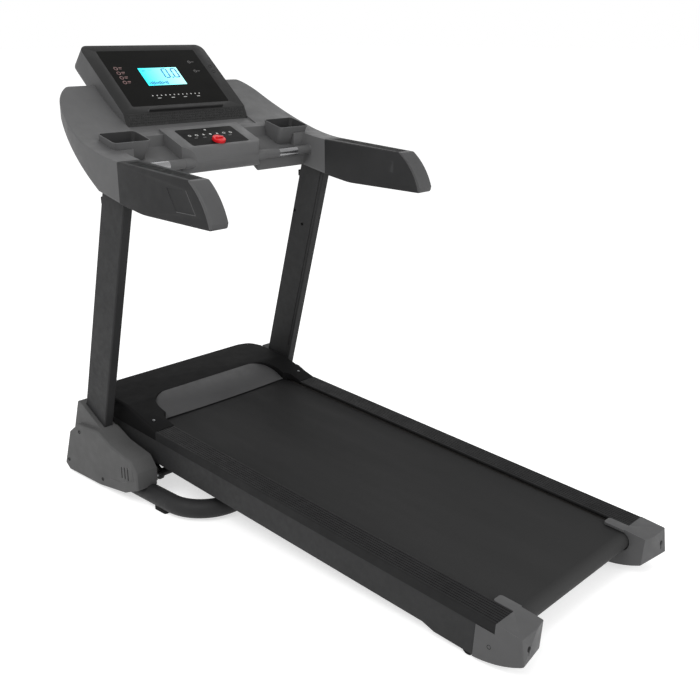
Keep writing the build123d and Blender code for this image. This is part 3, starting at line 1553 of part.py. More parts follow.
# Base
save("base_side_tubes", both_sides(base_side_tube()))
save("base_bow", base_bow())
save("base_front_tube", front_tube())
save("base_feet", base_feet())
save_pair("transport_wheel", wheel())
save_pair("upright", upright())
save_pair("base_cover", base_cover())

# Console and handrails stand in the console frame
console_outer = console_form(0)
save("console_upper_shell", console_place * console_upper(console_outer, console_form(console_wall)))
save("console_lower_shell", console_place * console_lower(console_outer))
save("control_pod", console_place * control_pod())
save("control_panel", console_place * control_panel())
save("safety_key", console_place * safety_key())
save("display_housing", console_place * display_housing(console_outer))
save("display_glass", console_place * screen_plane.location * (glass_block() - lcd_block(2 * lcd_gap)))
save("lcd_panel", console_place * screen_plane.location * lcd_block(0))
save("speaker_grille", console_place * speaker_grille())
save("cup_holders", console_place * both_sides(cup_holder()))
save("pulse_bars", console_place * both_sides(pulse_bar(console_outer)))
save("pulse_plates", console_place * both_sides(pulse_plate()))
handrail = handrail_blank()
save_pair("handrail", console_place * handrail_shell(handrail))
save_pair("handrail_cap", console_place * handrail_cap(handrail))
save("grip_strips", console_place * both_sides(grip_block()))
save("handrail_tubes", console_place * both_sides(handrail_tube_piece()))

# Lengths and angles that the joints need
strut_rest = hypot(strut_deck_pin[0] - strut_low_pin[0], strut_deck_pin[1] - strut_low_pin[1])
print("frame shift", round(frame_shift, 3))
print("fold pivot", fold_pivot, "lift pivot", lift_pivot)
print("strut low pin", strut_low_pin, "strut deck pin", strut_deck_pin, "strut length", strut_rest)
print("incline pin", incline_pin, "lever pin", lever_pin)
print("lift angle", degrees(asin((fold_pivot[1] - lift_pivot[1] + lift_rise) /
                                 hypot(fold_pivot[0] - lift_pivot[0], fold_pivot[1] - lift_pivot[1]))
                            - atan2(fold_pivot[1] - lift_pivot[1], fold_pivot[0] - lift_pivot[0])))
print("foot centre", deck_point(rear_foot_at, foot_centre()))
print("panel plane", tuple(panel_plane.origin), tuple(panel_plane.z_dir))
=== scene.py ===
import bpy
import json
import math
from mathutils import Matrix, Vector


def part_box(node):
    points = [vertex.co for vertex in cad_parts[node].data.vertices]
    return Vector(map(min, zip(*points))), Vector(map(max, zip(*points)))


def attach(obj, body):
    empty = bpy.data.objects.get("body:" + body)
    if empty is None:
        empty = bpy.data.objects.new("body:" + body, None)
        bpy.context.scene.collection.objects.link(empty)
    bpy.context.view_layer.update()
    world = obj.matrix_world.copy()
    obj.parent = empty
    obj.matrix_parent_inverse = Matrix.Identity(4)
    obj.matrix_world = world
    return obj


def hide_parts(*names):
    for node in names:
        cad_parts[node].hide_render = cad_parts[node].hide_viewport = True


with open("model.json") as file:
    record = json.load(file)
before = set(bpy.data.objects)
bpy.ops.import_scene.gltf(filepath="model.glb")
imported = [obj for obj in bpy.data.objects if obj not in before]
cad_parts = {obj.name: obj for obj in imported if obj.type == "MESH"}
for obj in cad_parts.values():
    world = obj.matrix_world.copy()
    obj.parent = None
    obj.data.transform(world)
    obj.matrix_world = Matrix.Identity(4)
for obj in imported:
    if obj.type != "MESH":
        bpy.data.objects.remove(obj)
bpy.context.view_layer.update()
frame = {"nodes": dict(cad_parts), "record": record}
cadNodes = frame["nodes"]
bodies = frame["record"]["behaviour"]["bodies"]
bodyOfNode = {node: body for body, members in bodies.items() for node in members}
bpy.ops.object.select_all(action="DESELECT")
print("frame loaded:", len(cadNodes), "nodes")

# places on the machine, in metres and radians; pairs are y and z, the slopes' ends from the console's foot
layout = {
    "shift": 0.458188,
    "deckHeight": 0.22661,
    "deckTilt": 0.0724304,
    "consoleFoot": (0.08596, 1.015),
    "screenTop": (0.3585, 0.393),
    "screenFold": (0.1315, 0.192),
    "lipLow": (0.1155, 0.151),
    "panelRear": (-0.0535, 0.092),
    "panelFront": (0.0725, 0.145),
}
worldPlace = Matrix.Translation((0, layout["shift"], 0))
deckFront = worldPlace @ Matrix.Translation((0, 0, layout["deckHeight"]))
deckPlace = deckFront @ Matrix.Rotation(layout["deckTilt"], 4, "X")
consolePlace = worldPlace @ Matrix.Translation((0, *layout["consoleFoot"]))


def slopePlace(start, end):
    run = Vector((0, end[0] - start[0], end[1] - start[1])).normalized()
    across = Vector((1, 0, 0))
    place = Matrix((across, run, across.cross(run))).transposed().to_4x4()
    place.translation = Vector((0, *start))
    return consolePlace @ place


screenPlace = slopePlace(layout["screenFold"], layout["screenTop"])
lipPlace = slopePlace(layout["lipLow"], layout["screenFold"])
panelPlace = slopePlace(layout["panelRear"], layout["panelFront"])

# what all finishes share: the noise, the stretch of it that is used, and the turn that counts as an edge
finishBasics = {"noiseRoughness": 0.55, "noiseMiddle": (0.3, 0.7),
                "edgeSamples": 4, "edgeTurn": (0.80, 0.995)}


def startFinish(name):
    material = bpy.data.materials.new(name)
    material.use_nodes = True
    tree = material.node_tree
    coord = tree.nodes.new("ShaderNodeTexCoord")
    return material, tree, tree.nodes["Principled BSDF"], coord.outputs["Object"]


def setSockets(node, sockets):
    for key, value in sockets.items():
        node.inputs[key].default_value = value


def addNode(tree, kind, sockets=None, **settings):
    node = tree.nodes.new(kind)
    for key, value in settings.items():
        setattr(node, key, value)
    setSockets(node, sockets or {})
    return node


def rgb(value):
    return (*value, 1.0)


def turnedCoord(tree, coord, degrees):
    mapping = addNode(tree, "ShaderNodeMapping", {"Rotation": (0.0, 0.0, math.radians(degrees))})
    tree.links.new(coord, mapping.inputs["Vector"])
    return mapping.outputs["Vector"]


def axisOf(tree, coord, axis):
    parts = addNode(tree, "ShaderNodeSeparateXYZ")
    tree.links.new(coord, parts.inputs["Vector"])
    return parts.outputs[axis]


def noiseOf(tree, coord, scale, detail, stretch=None):
    vector = coord
    if stretch:
        mapping = addNode(tree, "ShaderNodeMapping", {"Scale": stretch})
        tree.links.new(coord, mapping.inputs["Vector"])
        vector = mapping.outputs["Vector"]
    sockets = {"Scale": scale, "Detail": detail, "Roughness": finishBasics["noiseRoughness"]}
    noise = addNode(tree, "ShaderNodeTexNoise", sockets)
    tree.links.new(vector, noise.inputs["Vector"])
    return noise.outputs["Fac"]


def spread(tree, value, toLimits=(0.0, 1.0), fromLimits=finishBasics["noiseMiddle"]):
    sockets = {"From Min": fromLimits[0], "From Max": fromLimits[1],
               "To Min": toLimits[0], "To Max": toLimits[1]}
    ranged = addNode(tree, "ShaderNodeMapRange", sockets)
    tree.links.new(value, ranged.inputs["Value"])
    return ranged.outputs["Result"]


def combined(tree, operation, first, second):
    node = addNode(tree, "ShaderNodeMath", operation=operation)
    tree.links.new(first, node.inputs[0])
    tree.links.new(second, node.inputs[1])
    return node.outputs["Value"]


def blendColour(tree, factor, first, second):
    mix = addNode(tree, "ShaderNodeMix", data_type="RGBA")
    tree.links.new(factor, mix.inputs["Factor"])
    for socket, value in ((mix.inputs["A"], first), (mix.inputs["B"], second)):
        if isinstance(value, tuple):
            socket.default_value = rgb(value)
        else:
            tree.links.new(value, socket)
    return mix.outputs["Result"]


def mottled(tree, pattern, finish):
    return blendColour(tree, spread(tree, pattern), finish["colour"], finish["shade"])


def edgeMask(tree, radius):
    bevel = addNode(tree, "ShaderNodeBevel", {"Radius": radius}, samples=finishBasics["edgeSamples"])
    flat = addNode(tree, "ShaderNodeNewGeometry")
    dot = addNode(tree, "ShaderNodeVectorMath", operation="DOT_PRODUCT")
    tree.links.new(bevel.outputs["Normal"], dot.inputs[0])
    tree.links.new(flat.outputs["Normal"], dot.inputs[1])
    return spread(tree, dot.outputs["Value"], (1.0, 0.0), finishBasics["edgeTurn"])


def wornEdges(tree, coord, tone, edgeColour, radius, noise, limits):
    patches = spread(tree, noiseOf(tree, coord, *noise), limits)
    worn = combined(tree, "MULTIPLY", edgeMask(tree, radius), patches)
    return blendColour(tree, worn, tone, edgeColour)


def colourFrom(tree, shader, tone):
    tree.links.new(tone, shader.inputs["Base Color"])


def roughnessFrom(tree, shader, pattern, limits):
    tree.links.new(spread(tree, pattern, limits), shader.inputs["Roughness"])


def bumpFrom(tree, shader, height, strength, distance):
    bump = addNode(tree, "ShaderNodeBump", {"Strength": strength, "Distance": distance})
    tree.links.new(height, bump.inputs["Height"])
    tree.links.new(bump.outputs["Normal"], shader.inputs["Normal"])


# moulded plastic: a mottled tone, paler edges and a fine grain
mouldedSkin = {"mottleDetail": 4.0, "wearNoise": (45.0, 3.0), "leastWear": 0.1, "sheenNoise": (30.0, 3.0),
               "grainDetail": 2.0, "grainDepth": 0.0004}


def mouldedPlastic(name, finish):
    material, tree, shader, coord = startFinish(name)
    tone = mottled(tree, noiseOf(tree, coord, finish["mottle"], mouldedSkin["mottleDetail"]), finish)
    wear = (mouldedSkin["leastWear"], finish["wear"])
    noise = mouldedSkin["wearNoise"]
    colourFrom(tree, shader, wornEdges(tree, coord, tone, finish["edge"], finish["edgeRadius"], noise, wear))
    roughnessFrom(tree, shader, noiseOf(tree, coord, *mouldedSkin["sheenNoise"]), finish["rough"])
    grain = noiseOf(tree, coord, finish["grain"], mouldedSkin["grainDetail"])
    bumpFrom(tree, shader, grain, finish["grainStrength"], mouldedSkin["grainDepth"])
    setSockets(shader, {"Specular IOR Level": finish["specular"]})
    return material


greyPlastic = mouldedPlastic("greyPlastic", {
    "colour": (0.085, 0.085, 0.086), "shade": (0.074, 0.074, 0.075), "edge": (0.14, 0.14, 0.143),
    "edgeRadius": 0.004, "wear": 0.5, "mottle": 6.0, "rough": (0.48, 0.62),
    "grain": 900.0, "grainStrength": 0.14, "specular": 0.22})
capPlastic = mouldedPlastic("capPlastic", {
    "colour": (0.070, 0.070, 0.071), "shade": (0.061, 0.061, 0.062), "edge": (0.125, 0.125, 0.127),
    "edgeRadius": 0.003, "wear": 0.55, "mottle": 9.0, "rough": (0.50, 0.64),
    "grain": 850.0, "grainStrength": 0.16, "specular": 0.22})
coverPlastic = mouldedPlastic("coverPlastic", {
    "colour": (0.071, 0.071, 0.071), "shade": (0.060, 0.060, 0.060), "edge": (0.11, 0.11, 0.11),
    "edgeRadius": 0.004, "wear": 0.5, "mottle": 8.0, "rough": (0.54, 0.68),
    "grain": 800.0, "grainStrength": 0.18, "specular": 0.2})
blackPlastic = mouldedPlastic("blackPlastic", {
    "colour": (0.0072, 0.0072, 0.0074), "shade": (0.0062, 0.0062, 0.0064), "edge": (0.02, 0.02, 0.0205),
    "edgeRadius": 0.003, "wear": 0.3, "mottle": 3.0, "rough": (0.56, 0.64),
    "grain": 900.0, "grainStrength": 0.1, "specular": 0.03})
railPlastic = mouldedPlastic("railPlastic", {
    "colour": (0.0135, 0.0135, 0.0138), "shade": (0.0105, 0.0105, 0.0108), "edge": (0.04, 0.04, 0.041),
    "edgeRadius": 0.0016, "wear": 0.5, "mottle": 10.0, "rough": (0.5, 0.62),
    "grain": 1000.0, "grainStrength": 0.2, "specular": 0.08})
handrailPlastic = mouldedPlastic("handrailPlastic", {
    "colour": (0.024, 0.024, 0.0245), "shade": (0.020, 0.020, 0.0205), "edge": (0.055, 0.055, 0.056),
    "edgeRadius": 0.003, "wear": 0.4, "mottle": 7.0, "rough": (0.52, 0.64),
    "grain": 750.0, "grainStrength": 0.24, "specular": 0.1})
endCapPlastic = mouldedPlastic("endCapPlastic", {
    "colour": (0.064, 0.064, 0.065), "shade": (0.054, 0.054, 0.055), "edge": (0.11, 0.11, 0.11),
    "edgeRadius": 0.003, "wear": 0.5, "mottle": 9.0, "rough": (0.5, 0.62),
    "grain": 850.0, "grainStrength": 0.16, "specular": 0.2})
insertPlastic = mouldedPlastic("insertPlastic", {
    "colour": (0.050, 0.050, 0.051), "shade": (0.044, 0.044, 0.045), "edge": (0.09, 0.09, 0.09),
    "edgeRadius": 0.002, "wear": 0.4, "mottle": 6.0, "rough": (0.46, 0.58),
    "grain": 900.0, "grainStrength": 0.12, "specular": 0.18})
# painted shade for the cups' insides
cupPaintedShade = mouldedPlastic("cupPaintedShade", {
    "colour": (0.026, 0.026, 0.0265), "shade": (0.021, 0.021, 0.0215), "edge": (0.06, 0.06, 0.061),
    "edgeRadius": 0.002, "wear": 0.4, "mottle": 6.0, "rough": (0.46, 0.58),
    "grain": 900.0, "grainStrength": 0.12, "specular": 0.18})
housingPlastic = mouldedPlastic("housingPlastic", {
    "colour": (0.0165, 0.0165, 0.0165), "shade": (0.0135, 0.0135, 0.0135), "edge": (0.05, 0.05, 0.05),
    "edgeRadius": 0.003, "wear": 0.4, "mottle": 5.0, "rough": (0.42, 0.54),
    "grain": 950.0, "grainStrength": 0.12, "specular": 0.15})
housingSide = mouldedPlastic("housingSide", {
    "colour": (0.078, 0.078, 0.079), "shade": (0.067, 0.067, 0.068), "edge": (0.12, 0.12, 0.12),
    "edgeRadius": 0.003, "wear": 0.4, "mottle": 5.0, "rough": (0.48, 0.6),
    "grain": 900.0, "grainStrength": 0.12, "specular": 0.2})
keyRed = mouldedPlastic("keyRed", {
    "colour": (0.55, 0.008, 0.013), "shade": (0.46, 0.006, 0.010), "edge": (0.66, 0.05, 0.05),
    "edgeRadius": 0.0015, "wear": 0.4, "mottle": 30.0, "rough": (0.38, 0.5),
    "grain": 1200.0, "grainStrength": 0.08, "specular": 0.25})

# powder coat on the steel: orange peel, and paint worn thin at the edges
powderSkin = {"mottleNoise": (7.0, 3.0), "edgeRadius": 0.003, "wearNoise": (60.0, 4.0), "wear": (0.0, 0.5),
              "peelScale": 620.0, "peelStrength": 0.12, "peelDepth": 0.0004, "sheenNoise": (55.0, 3.0),
              "specular": 0.16}


def powderCoat(name, finish):
    material, tree, shader, coord = startFinish(name)
    tone = mottled(tree, noiseOf(tree, coord, *powderSkin["mottleNoise"]), finish)
    radius, noise, wear = (powderSkin[key] for key in ("edgeRadius", "wearNoise", "wear"))
    colourFrom(tree, shader, wornEdges(tree, coord, tone, finish["edge"], radius, noise, wear))
    peel = addNode(tree, "ShaderNodeTexVoronoi", {"Scale": powderSkin["peelScale"]}, feature="SMOOTH_F1")
    tree.links.new(coord, peel.inputs["Vector"])
    bumpFrom(tree, shader, peel.outputs["Distance"], powderSkin["peelStrength"], powderSkin["peelDepth"])
    roughnessFrom(tree, shader, noiseOf(tree, coord, *powderSkin["sheenNoise"]), finish["rough"])
    setSockets(shader, {"Specular IOR Level": powderSkin["specular"]})
    return material


framePaint = powderCoat("framePaint", {
    "colour": (0.021, 0.021, 0.0215), "shade": (0.017, 0.017, 0.0175), "edge": (0.05, 0.05, 0.051),
    "rough": (0.48, 0.62)})
motorPaint = powderCoat("motorPaint", {
    "colour": (0.04, 0.04, 0.044), "shade": (0.032, 0.032, 0.035), "edge": (0.12, 0.12, 0.12),
    "rough": (0.35, 0.5)})


# the belt: a diamond weave, long faint streaks along the run, painted light that pales it towards the rear,
# and a painted highlight at the rear turn
def beltSurface(name, finish):
    material, tree, shader, coord = startFinish(name)
    turned = turnedCoord(tree, coord, finish["weaveTurn"])
    waves = []
    for direction in ("X", "Y"):
        sockets = {"Scale": finish["weave"], "Distortion": finish["weaveWobble"]}
        wave = addNode(tree, "ShaderNodeTexWave", sockets, bands_direction=direction)
        tree.links.new(turned, wave.inputs["Vector"])
        waves.append(wave.outputs["Fac"])
    diamonds = combined(tree, "MULTIPLY", *waves)
    streaks = noiseOf(tree, coord, *finish["streakNoise"], finish["streakStretch"])
    valleys = spread(tree, diamonds, (0.0, finish["valleyShare"]), (0.0, 1.0))
    woven = blendColour(tree, valleys, mottled(tree, streaks, finish), finish["valley"])
    run = axisOf(tree, coord, "Y")
    # painted light: the belt pales towards the rear, and a painted highlight lies on its turn over the rear
    # roller
    paintedRearLight = blendColour(tree, spread(tree, run, (1.0, 0.0), finish["rearLightRun"]), woven, finish["dust"])
    paintedTurnHighlight = blendColour(tree, spread(tree, run, (1.0, 0.0), finish["turnHighlightRun"]), paintedRearLight, finish["scuff"])
    colourFrom(tree, shader, paintedTurnHighlight)
    roughnessFrom(tree, shader, streaks, finish["rough"])
    bumpFrom(tree, shader, diamonds, finish["weaveStrength"], finish["weaveDepth"])
    setSockets(shader, {"Specular IOR Level": finish["specular"]})
    return material


beltRubber = beltSurface("beltRubber", {
    "colour": (0.0118, 0.0118, 0.0120), "shade": (0.0098, 0.0098, 0.0100), "valley": (0.007, 0.007, 0.0072),
    "weave": 95.0, "weaveTurn": 45, "weaveWobble": 0.25, "weaveStrength": 0.35, "weaveDepth": 0.0006,
    "valleyShare": 0.35, "streakNoise": (3.0, 5.0), "streakStretch": (2.2, 0.35, 1.0),
    # painted light: the paler tone towards the rear, and the painted highlight at the rear turn
    "dust": (0.0225, 0.0225, 0.0226), "rearLightRun": (-0.86, 0.50),
    "scuff": (0.036, 0.036, 0.036), "turnHighlightRun": (-0.884, -0.862),
    "rough": (0.5, 0.64), "specular": 0.05})

# soft rubber: dull and grained
rubberSkin = {"mottleNoise": (22.0, 5.0), "sheenNoise": (70.0, 2.0), "rough": (0.62, 0.85),
              "grainDetail": 3.0, "grainStrength": 0.3, "grainDepth": 0.0004, "specular": 0.06}


def softRubber(name, finish):
    material, tree, shader, coord = startFinish(name)
    colourFrom(tree, shader, mottled(tree, noiseOf(tree, coord, *rubberSkin["mottleNoise"]), finish))
    roughnessFrom(tree, shader, noiseOf(tree, coord, *rubberSkin["sheenNoise"]), rubberSkin["rough"])
    grain = noiseOf(tree, coord, finish["grain"], rubberSkin["grainDetail"])
    bumpFrom(tree, shader, grain, rubberSkin["grainStrength"], rubberSkin["grainDepth"])
    setSockets(shader, {"Specular IOR Level": rubberSkin["specular"]})
    return material


blackRubber = softRubber("blackRubber", {
    "colour": (0.012, 0.012, 0.012), "shade": (0.008, 0.008, 0.008), "grain": 600.0})
gripRubber = softRubber("gripRubber", {
    "colour": (0.013, 0.013, 0.013), "shade": (0.010, 0.010, 0.010), "grain": 380.0})
deepBlack = softRubber("deepBlack", {
    "colour": (0.003, 0.003, 0.003), "shade": (0.0018, 0.0018, 0.0018), "grain": 500.0})

# bare metal, brushed one way
brushing = {"streakNoise": (320.0, 3.0), "strength": 0.08, "depth": 0.0002}


def brushedMetal(name, finish):
    material, tree, shader, coord = startFinish(name)
    streaks = noiseOf(tree, coord, *brushing["streakNoise"], finish["stretch"])
    colourFrom(tree, shader, mottled(tree, streaks, finish))
    roughnessFrom(tree, shader, streaks, finish["rough"])
    bumpFrom(tree, shader, streaks, brushing["strength"], brushing["depth"])
    setSockets(shader, {"Metallic": 1.0})
    return material


plainSteel = brushedMetal("plainSteel", {
    "colour": (0.52, 0.53, 0.54), "shade": (0.40, 0.41, 0.42),
    "stretch": (0.05, 1.0, 1.0), "rough": (0.24, 0.40)})
pulseSteel = brushedMetal("pulseSteel", {
    "colour": (0.30, 0.30, 0.305), "shade": (0.20, 0.20, 0.205),
    "stretch": (0.05, 1.0, 1.0), "rough": (0.22, 0.36)})
finAluminium = brushedMetal("finAluminium", {
    "colour": (0.55, 0.55, 0.57), "shade": (0.45, 0.45, 0.47),
    "stretch": (1.0, 0.05, 1.0), "rough": (0.3, 0.45)})

# dark glass with faint smears
glassSmear = {"noise": (12.0, 4.0), "stretch": (1.0, 2.5, 1.0)}


def darkGlass(name, finish):
    material, tree, shader, coord = startFinish(name)
    smear = noiseOf(tree, coord, *glassSmear["noise"], glassSmear["stretch"])
    colourFrom(tree, shader, mottled(tree, smear, finish))
    roughnessFrom(tree, shader, smear, finish["rough"])
    setSockets(shader, {"Specular IOR Level": finish["specular"]})
    return material


screenGlass = darkGlass("screenGlass", {
    "colour": (0.0062, 0.0062, 0.0058), "shade": (0.0048, 0.0048, 0.0045),
    "rough": (0.3, 0.42), "specular": 0.025})
panelGlass = darkGlass("panelGlass", {
    "colour": (0.006, 0.006, 0.006), "shade": (0.0045, 0.0045, 0.0045),
    "rough": (0.4, 0.5), "specular": 0.02})


# the lit display: it pales from left to right, over a fine grid of cells
def litDisplay(name, finish):
    material, tree, shader, coord = startFinish(name)
    across = spread(tree, axisOf(tree, coord, "X"), fromLimits=finish["ends"])
    glow = blendColour(tree, across, finish["deep"], finish["pale"])
    sockets = {key: rgb((tint,) * 3) for key, tint in finish["cellTints"].items()}
    sockets |= {"Scale": finish["cells"], "Mortar Size": finish["cellGap"]}
    cells = addNode(tree, "ShaderNodeTexBrick", sockets)
    tree.links.new(coord, cells.inputs["Vector"])
    share = {"Factor": finish["cellShare"]}
    tinted = addNode(tree, "ShaderNodeMix", share, data_type="RGBA", blend_type="MULTIPLY")
    tree.links.new(glow, tinted.inputs["A"])
    tree.links.new(cells.outputs["Color"], tinted.inputs["B"])
    for socket in ("Base Color", "Emission Color"):
        tree.links.new(tinted.outputs["Result"], shader.inputs[socket])
    setSockets(shader, {"Emission Strength": finish["glow"], "Roughness": finish["rough"]})
    return material


lcdGlow = litDisplay("lcdGlow", {
    "ends": [corner.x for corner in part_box("lcd_panel")],
    "deep": (0.0, 0.70, 0.80), "pale": (0.36, 0.95, 0.93),
    "cells": 160.0, "cellGap": 0.03, "cellTints": {"Color1": 1.0, "Color2": 0.94, "Mortar": 0.8},
    "cellShare": 0.35, "glow": 0.75, "rough": 0.25})


# the speaker's plastic, with fine dark holes
def perforatedPlastic(name, finish):
    material, tree, shader, coord = startFinish(name)
    sockets = {"Scale": finish["pitch"], "Randomness": finish["scatter"]}
    holes = addNode(tree, "ShaderNodeTexVoronoi", sockets, feature="F1")
    tree.links.new(turnedCoord(tree, coord, finish["turn"]), holes.inputs["Vector"])
    opened = spread(tree, holes.outputs["Distance"], (1.0, 0.0), finish["holeEdge"])
    tone = mottled(tree, noiseOf(tree, coord, *finish["mottleNoise"]), finish)
    colourFrom(tree, shader, blendColour(tree, opened, tone, finish["hole"]))
    roughnessFrom(tree, shader, noiseOf(tree, coord, *finish["sheenNoise"]), finish["rough"])
    bumpFrom(tree, shader, holes.outputs["Distance"], finish["holeStrength"], finish["holeDepth"])
    setSockets(shader, {"Specular IOR Level": finish["specular"]})
    return material


speakerPlastic = perforatedPlastic("speakerPlastic", {
    "colour": (0.030, 0.030, 0.030), "shade": (0.022, 0.022, 0.022), "mottleNoise": (120.0, 3.0),
    "hole": (0.004, 0.004, 0.004), "pitch": 210.0, "turn": 45, "scatter": 0.25, "holeEdge": (0.28, 0.40),
    "holeStrength": 0.4, "holeDepth": 0.0008, "sheenNoise": (60.0, 2.0), "rough": (0.5, 0.7),
    "specular": 0.12})

# print on glass and on the display
printSkin = {"noise": (260.0, 2.0), "rough": 0.5}


def printedMark(name, finish):
    material, tree, shader, coord = startFinish(name)
    colourFrom(tree, shader, mottled(tree, noiseOf(tree, coord, *printSkin["noise"]), finish))
    setSockets(shader, {"Roughness": printSkin["rough"]})
    return material


lcdInk = printedMark("lcdInk", {"colour": (0.012, 0.14, 0.42), "shade": (0.009, 0.10, 0.34)})
whiteMark = printedMark("whiteMark", {"colour": (0.50, 0.50, 0.49), "shade": (0.36, 0.36, 0.35)})
faintMark = printedMark("faintMark", {"colour": (0.13, 0.125, 0.125), "shade": (0.08, 0.078, 0.078)})
warmMark = printedMark("warmMark", {"colour": (0.20, 0.115, 0.11), "shade": (0.13, 0.07, 0.068)})


# the running board's pressed fibre
def pressedBoard(name, finish):
    material, tree, shader, coord = startFinish(name)
    fibre = noiseOf(tree, coord, *finish["fibreNoise"], finish["fibreStretch"])
    colourFrom(tree, shader, mottled(tree, fibre, finish))
    bumpFrom(tree, shader, fibre, finish["fibreStrength"], finish["fibreDepth"])
    setSockets(shader, {"Roughness": finish["rough"]})
    return material


boardWood = pressedBoard("boardWood", {
    "colour": (0.016, 0.014, 0.013), "shade": (0.010, 0.009, 0.008), "fibreNoise": (90.0, 5.0),
    "fibreStretch": (1.0, 0.2, 4.0), "fibreStrength": 0.15, "fibreDepth": 0.0005, "rough": 0.55})
print("finishes ready")

finishOfNode = {
    framePaint: ["side_frame_right", "side_frame_left", "cross_members", "motor_tray", "lift_arms",
                 "lift_tube", "fold_axle", "base_side_tubes", "base_bow", "base_front_tube",
                 "upright_right", "upright_left", "handrail_tubes", "strut_barrel", "incline_motor"],
    plainSteel: ["roller_shafts", "belt_adjusters", "front_roller", "rear_roller", "lift_shaft", "strut_rod",
                 "incline_screw", "motor_flywheel"],
    pulseSteel: ["pulse_plates"],
    motorPaint: ["drive_motor"],
    capPlastic: ["rear_cap_right", "rear_cap_left"],
    coverPlastic: ["base_cover_right", "base_cover_left"],
    greyPlastic: ["console_upper_shell", "control_pod", "cup_holders", "pulse_bars", "console_lower_shell"],
    endCapPlastic: ["handrail_cap_right", "handrail_cap_left"],
    insertPlastic: ["hood_insert"],
    railPlastic: ["foot_rail_right", "foot_rail_left"],
    blackPlastic: ["motor_hood", "power_inlet", "power_switch"],
    housingPlastic: ["display_housing"],
    speakerPlastic: ["speaker_grille"],
    handrailPlastic: ["handrail_right", "handrail_left"],
    blackRubber: ["deck_cushions", "rear_feet", "base_feet", "drive_belt", "transport_wheel_right",
                  "transport_wheel_left"],
    gripRubber: ["grip_strips"],
    beltRubber: ["running_belt"],
    boardWood: ["running_board"],
    finAluminium: ["motor_controller"],
    screenGlass: ["display_glass"],
    panelGlass: ["control_panel"],
    lcdGlow: ["lcd_panel"],
    keyRed: ["safety_key"],
}
for material, nodeNames in finishOfNode.items():
    for nodeName in nodeNames:
        cadNodes[nodeName].data.materials.clear()
        cadNodes[nodeName].data.materials.append(material)
print("nodes dressed")


# small helpers for new pieces
def clearSelection():
    if bpy.context.object and bpy.context.object.mode != "OBJECT":
        bpy.ops.object.mode_set(mode="OBJECT")
    bpy.ops.object.select_all(action="DESELECT")


def activeOnly(piece):
    clearSelection()
    piece.select_set(True)
    bpy.context.view_layer.objects.active = piece


def duplicateOf(piece):
    activeOnly(piece)
    bpy.ops.object.duplicate()
    return bpy.context.view_layer.objects.active


def applyModifier(piece, kind, **settings):
    activeOnly(piece)
    bpy.ops.object.modifier_add(type=kind)
    modifier = piece.modifiers[-1]
    for key, value in settings.items():
        setattr(modifier, key, value)
    bpy.ops.object.modifier_apply(modifier=modifier.name)


# a piece rides on its carrier's body
def finishPiece(piece, name, material, carrier, smoothAngle=35):
    piece.name = name
    piece.data.name = name
    piece.data.materials.clear()
    piece.data.materials.append(material)
    activeOnly(piece)
    bpy.ops.object.shade_smooth_by_angle(angle=math.radians(smoothAngle))
    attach(piece, bodyOfNode[carrier])


# nodes whose moulded edges are rounded for the eye; angles are in degrees
rounding = {"weld": 0.00002, "flatAngle": 0.6, "edgeAngle": 28, "smoothAngle": 40}
roundedEdges = {
    "motor_hood": {"width": 0.0013, "segments": 3},
    "console_upper_shell": {"width": 0.0014, "segments": 3},
    "control_pod": {"width": 0.0014, "segments": 3},
    "display_housing": {"width": 0.0022, "segments": 3},
    "cup_holders": {"width": 0.0012, "segments": 3},
    "rear_cap_right": {"width": 0.0014, "segments": 3},
    "rear_cap_left": {"width": 0.0014, "segments": 3},
    "hood_insert": {"width": 0.001, "segments": 2},
    "base_cover_right": {"width": 0.0014, "segments": 3},
    "base_cover_left": {"width": 0.0014, "segments": 3},
    "handrail_right": {"width": 0.0012, "segments": 2},
    "handrail_left": {"width": 0.0012, "segments": 2},
    "handrail_cap_right": {"width": 0.0012, "segments": 2},
    "handrail_cap_left": {"width": 0.0012, "segments": 2},
}


def roundedCopy(nodeName, edges):
    source = cadNodes[nodeName]
    piece = duplicateOf(source)
    piece.parent = None
    for key in list(piece.keys()):    # the copy keeps none of the node's own tags
        del piece[key]
    bpy.ops.object.mode_set(mode="EDIT")
    bpy.ops.mesh.select_all(action="SELECT")
    bpy.ops.mesh.customdata_custom_splitnormals_clear()
    bpy.ops.mesh.remove_doubles(threshold=rounding["weld"])
    bpy.ops.mesh.dissolve_limited(angle_limit=math.radians(rounding["flatAngle"]))
    bpy.ops.object.mode_set(mode="OBJECT")
    edgeAngle = math.radians(rounding["edgeAngle"])
    applyModifier(piece, "BEVEL", **edges, limit_method="ANGLE", angle_limit=edgeAngle,
                  use_clamp_overlap=True, harden_normals=False)
    words = nodeName.split("_")
    name = words[0] + "".join(word.capitalize() for word in words[1:]) + "Rounded"
    finishPiece(piece, name, source.data.materials[0], nodeName, rounding["smoothAngle"])
    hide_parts(nodeName)
    return piece


roundedPieces = {nodeName: roundedCopy(nodeName, edges) for nodeName, edges in roundedEdges.items()}
print("edges rounded:", len(roundedPieces))

# the display's bezel is black and the shell behind it grey
housingTone = {"leastFacing": 0.35}    # cosine to the screen's or the lip's normal
displayHousing = roundedPieces["display_housing"]
displayHousing.data.materials.append(housingSide)
frontNormals = [place.to_3x3() @ Vector((0, 0, 1)) for place in (screenPlace, lipPlace)]
for face in displayHousing.data.polygons:
    facing = max(face.normal.dot(normal) for normal in frontNormals)
    face.material_index = 0 if facing > housingTone["leastFacing"] else 1

# the cups' insides get painted shade: a darker finish on the walls that face the cup's middle, and on its
# floor
cupForm = {"x": 0.332, "y": 0.0085, "z": 0.137, "tilt": 15.0, "depth": 0.066, "wall": 0.003,
           "inward": 0.3, "upward": 0.8}


def cupPlace(side):
    rim = consolePlace @ Matrix.Translation((side * cupForm["x"], cupForm["y"], cupForm["z"]))
    return rim @ Matrix.Rotation(math.radians(cupForm["tilt"]), 4, "X")


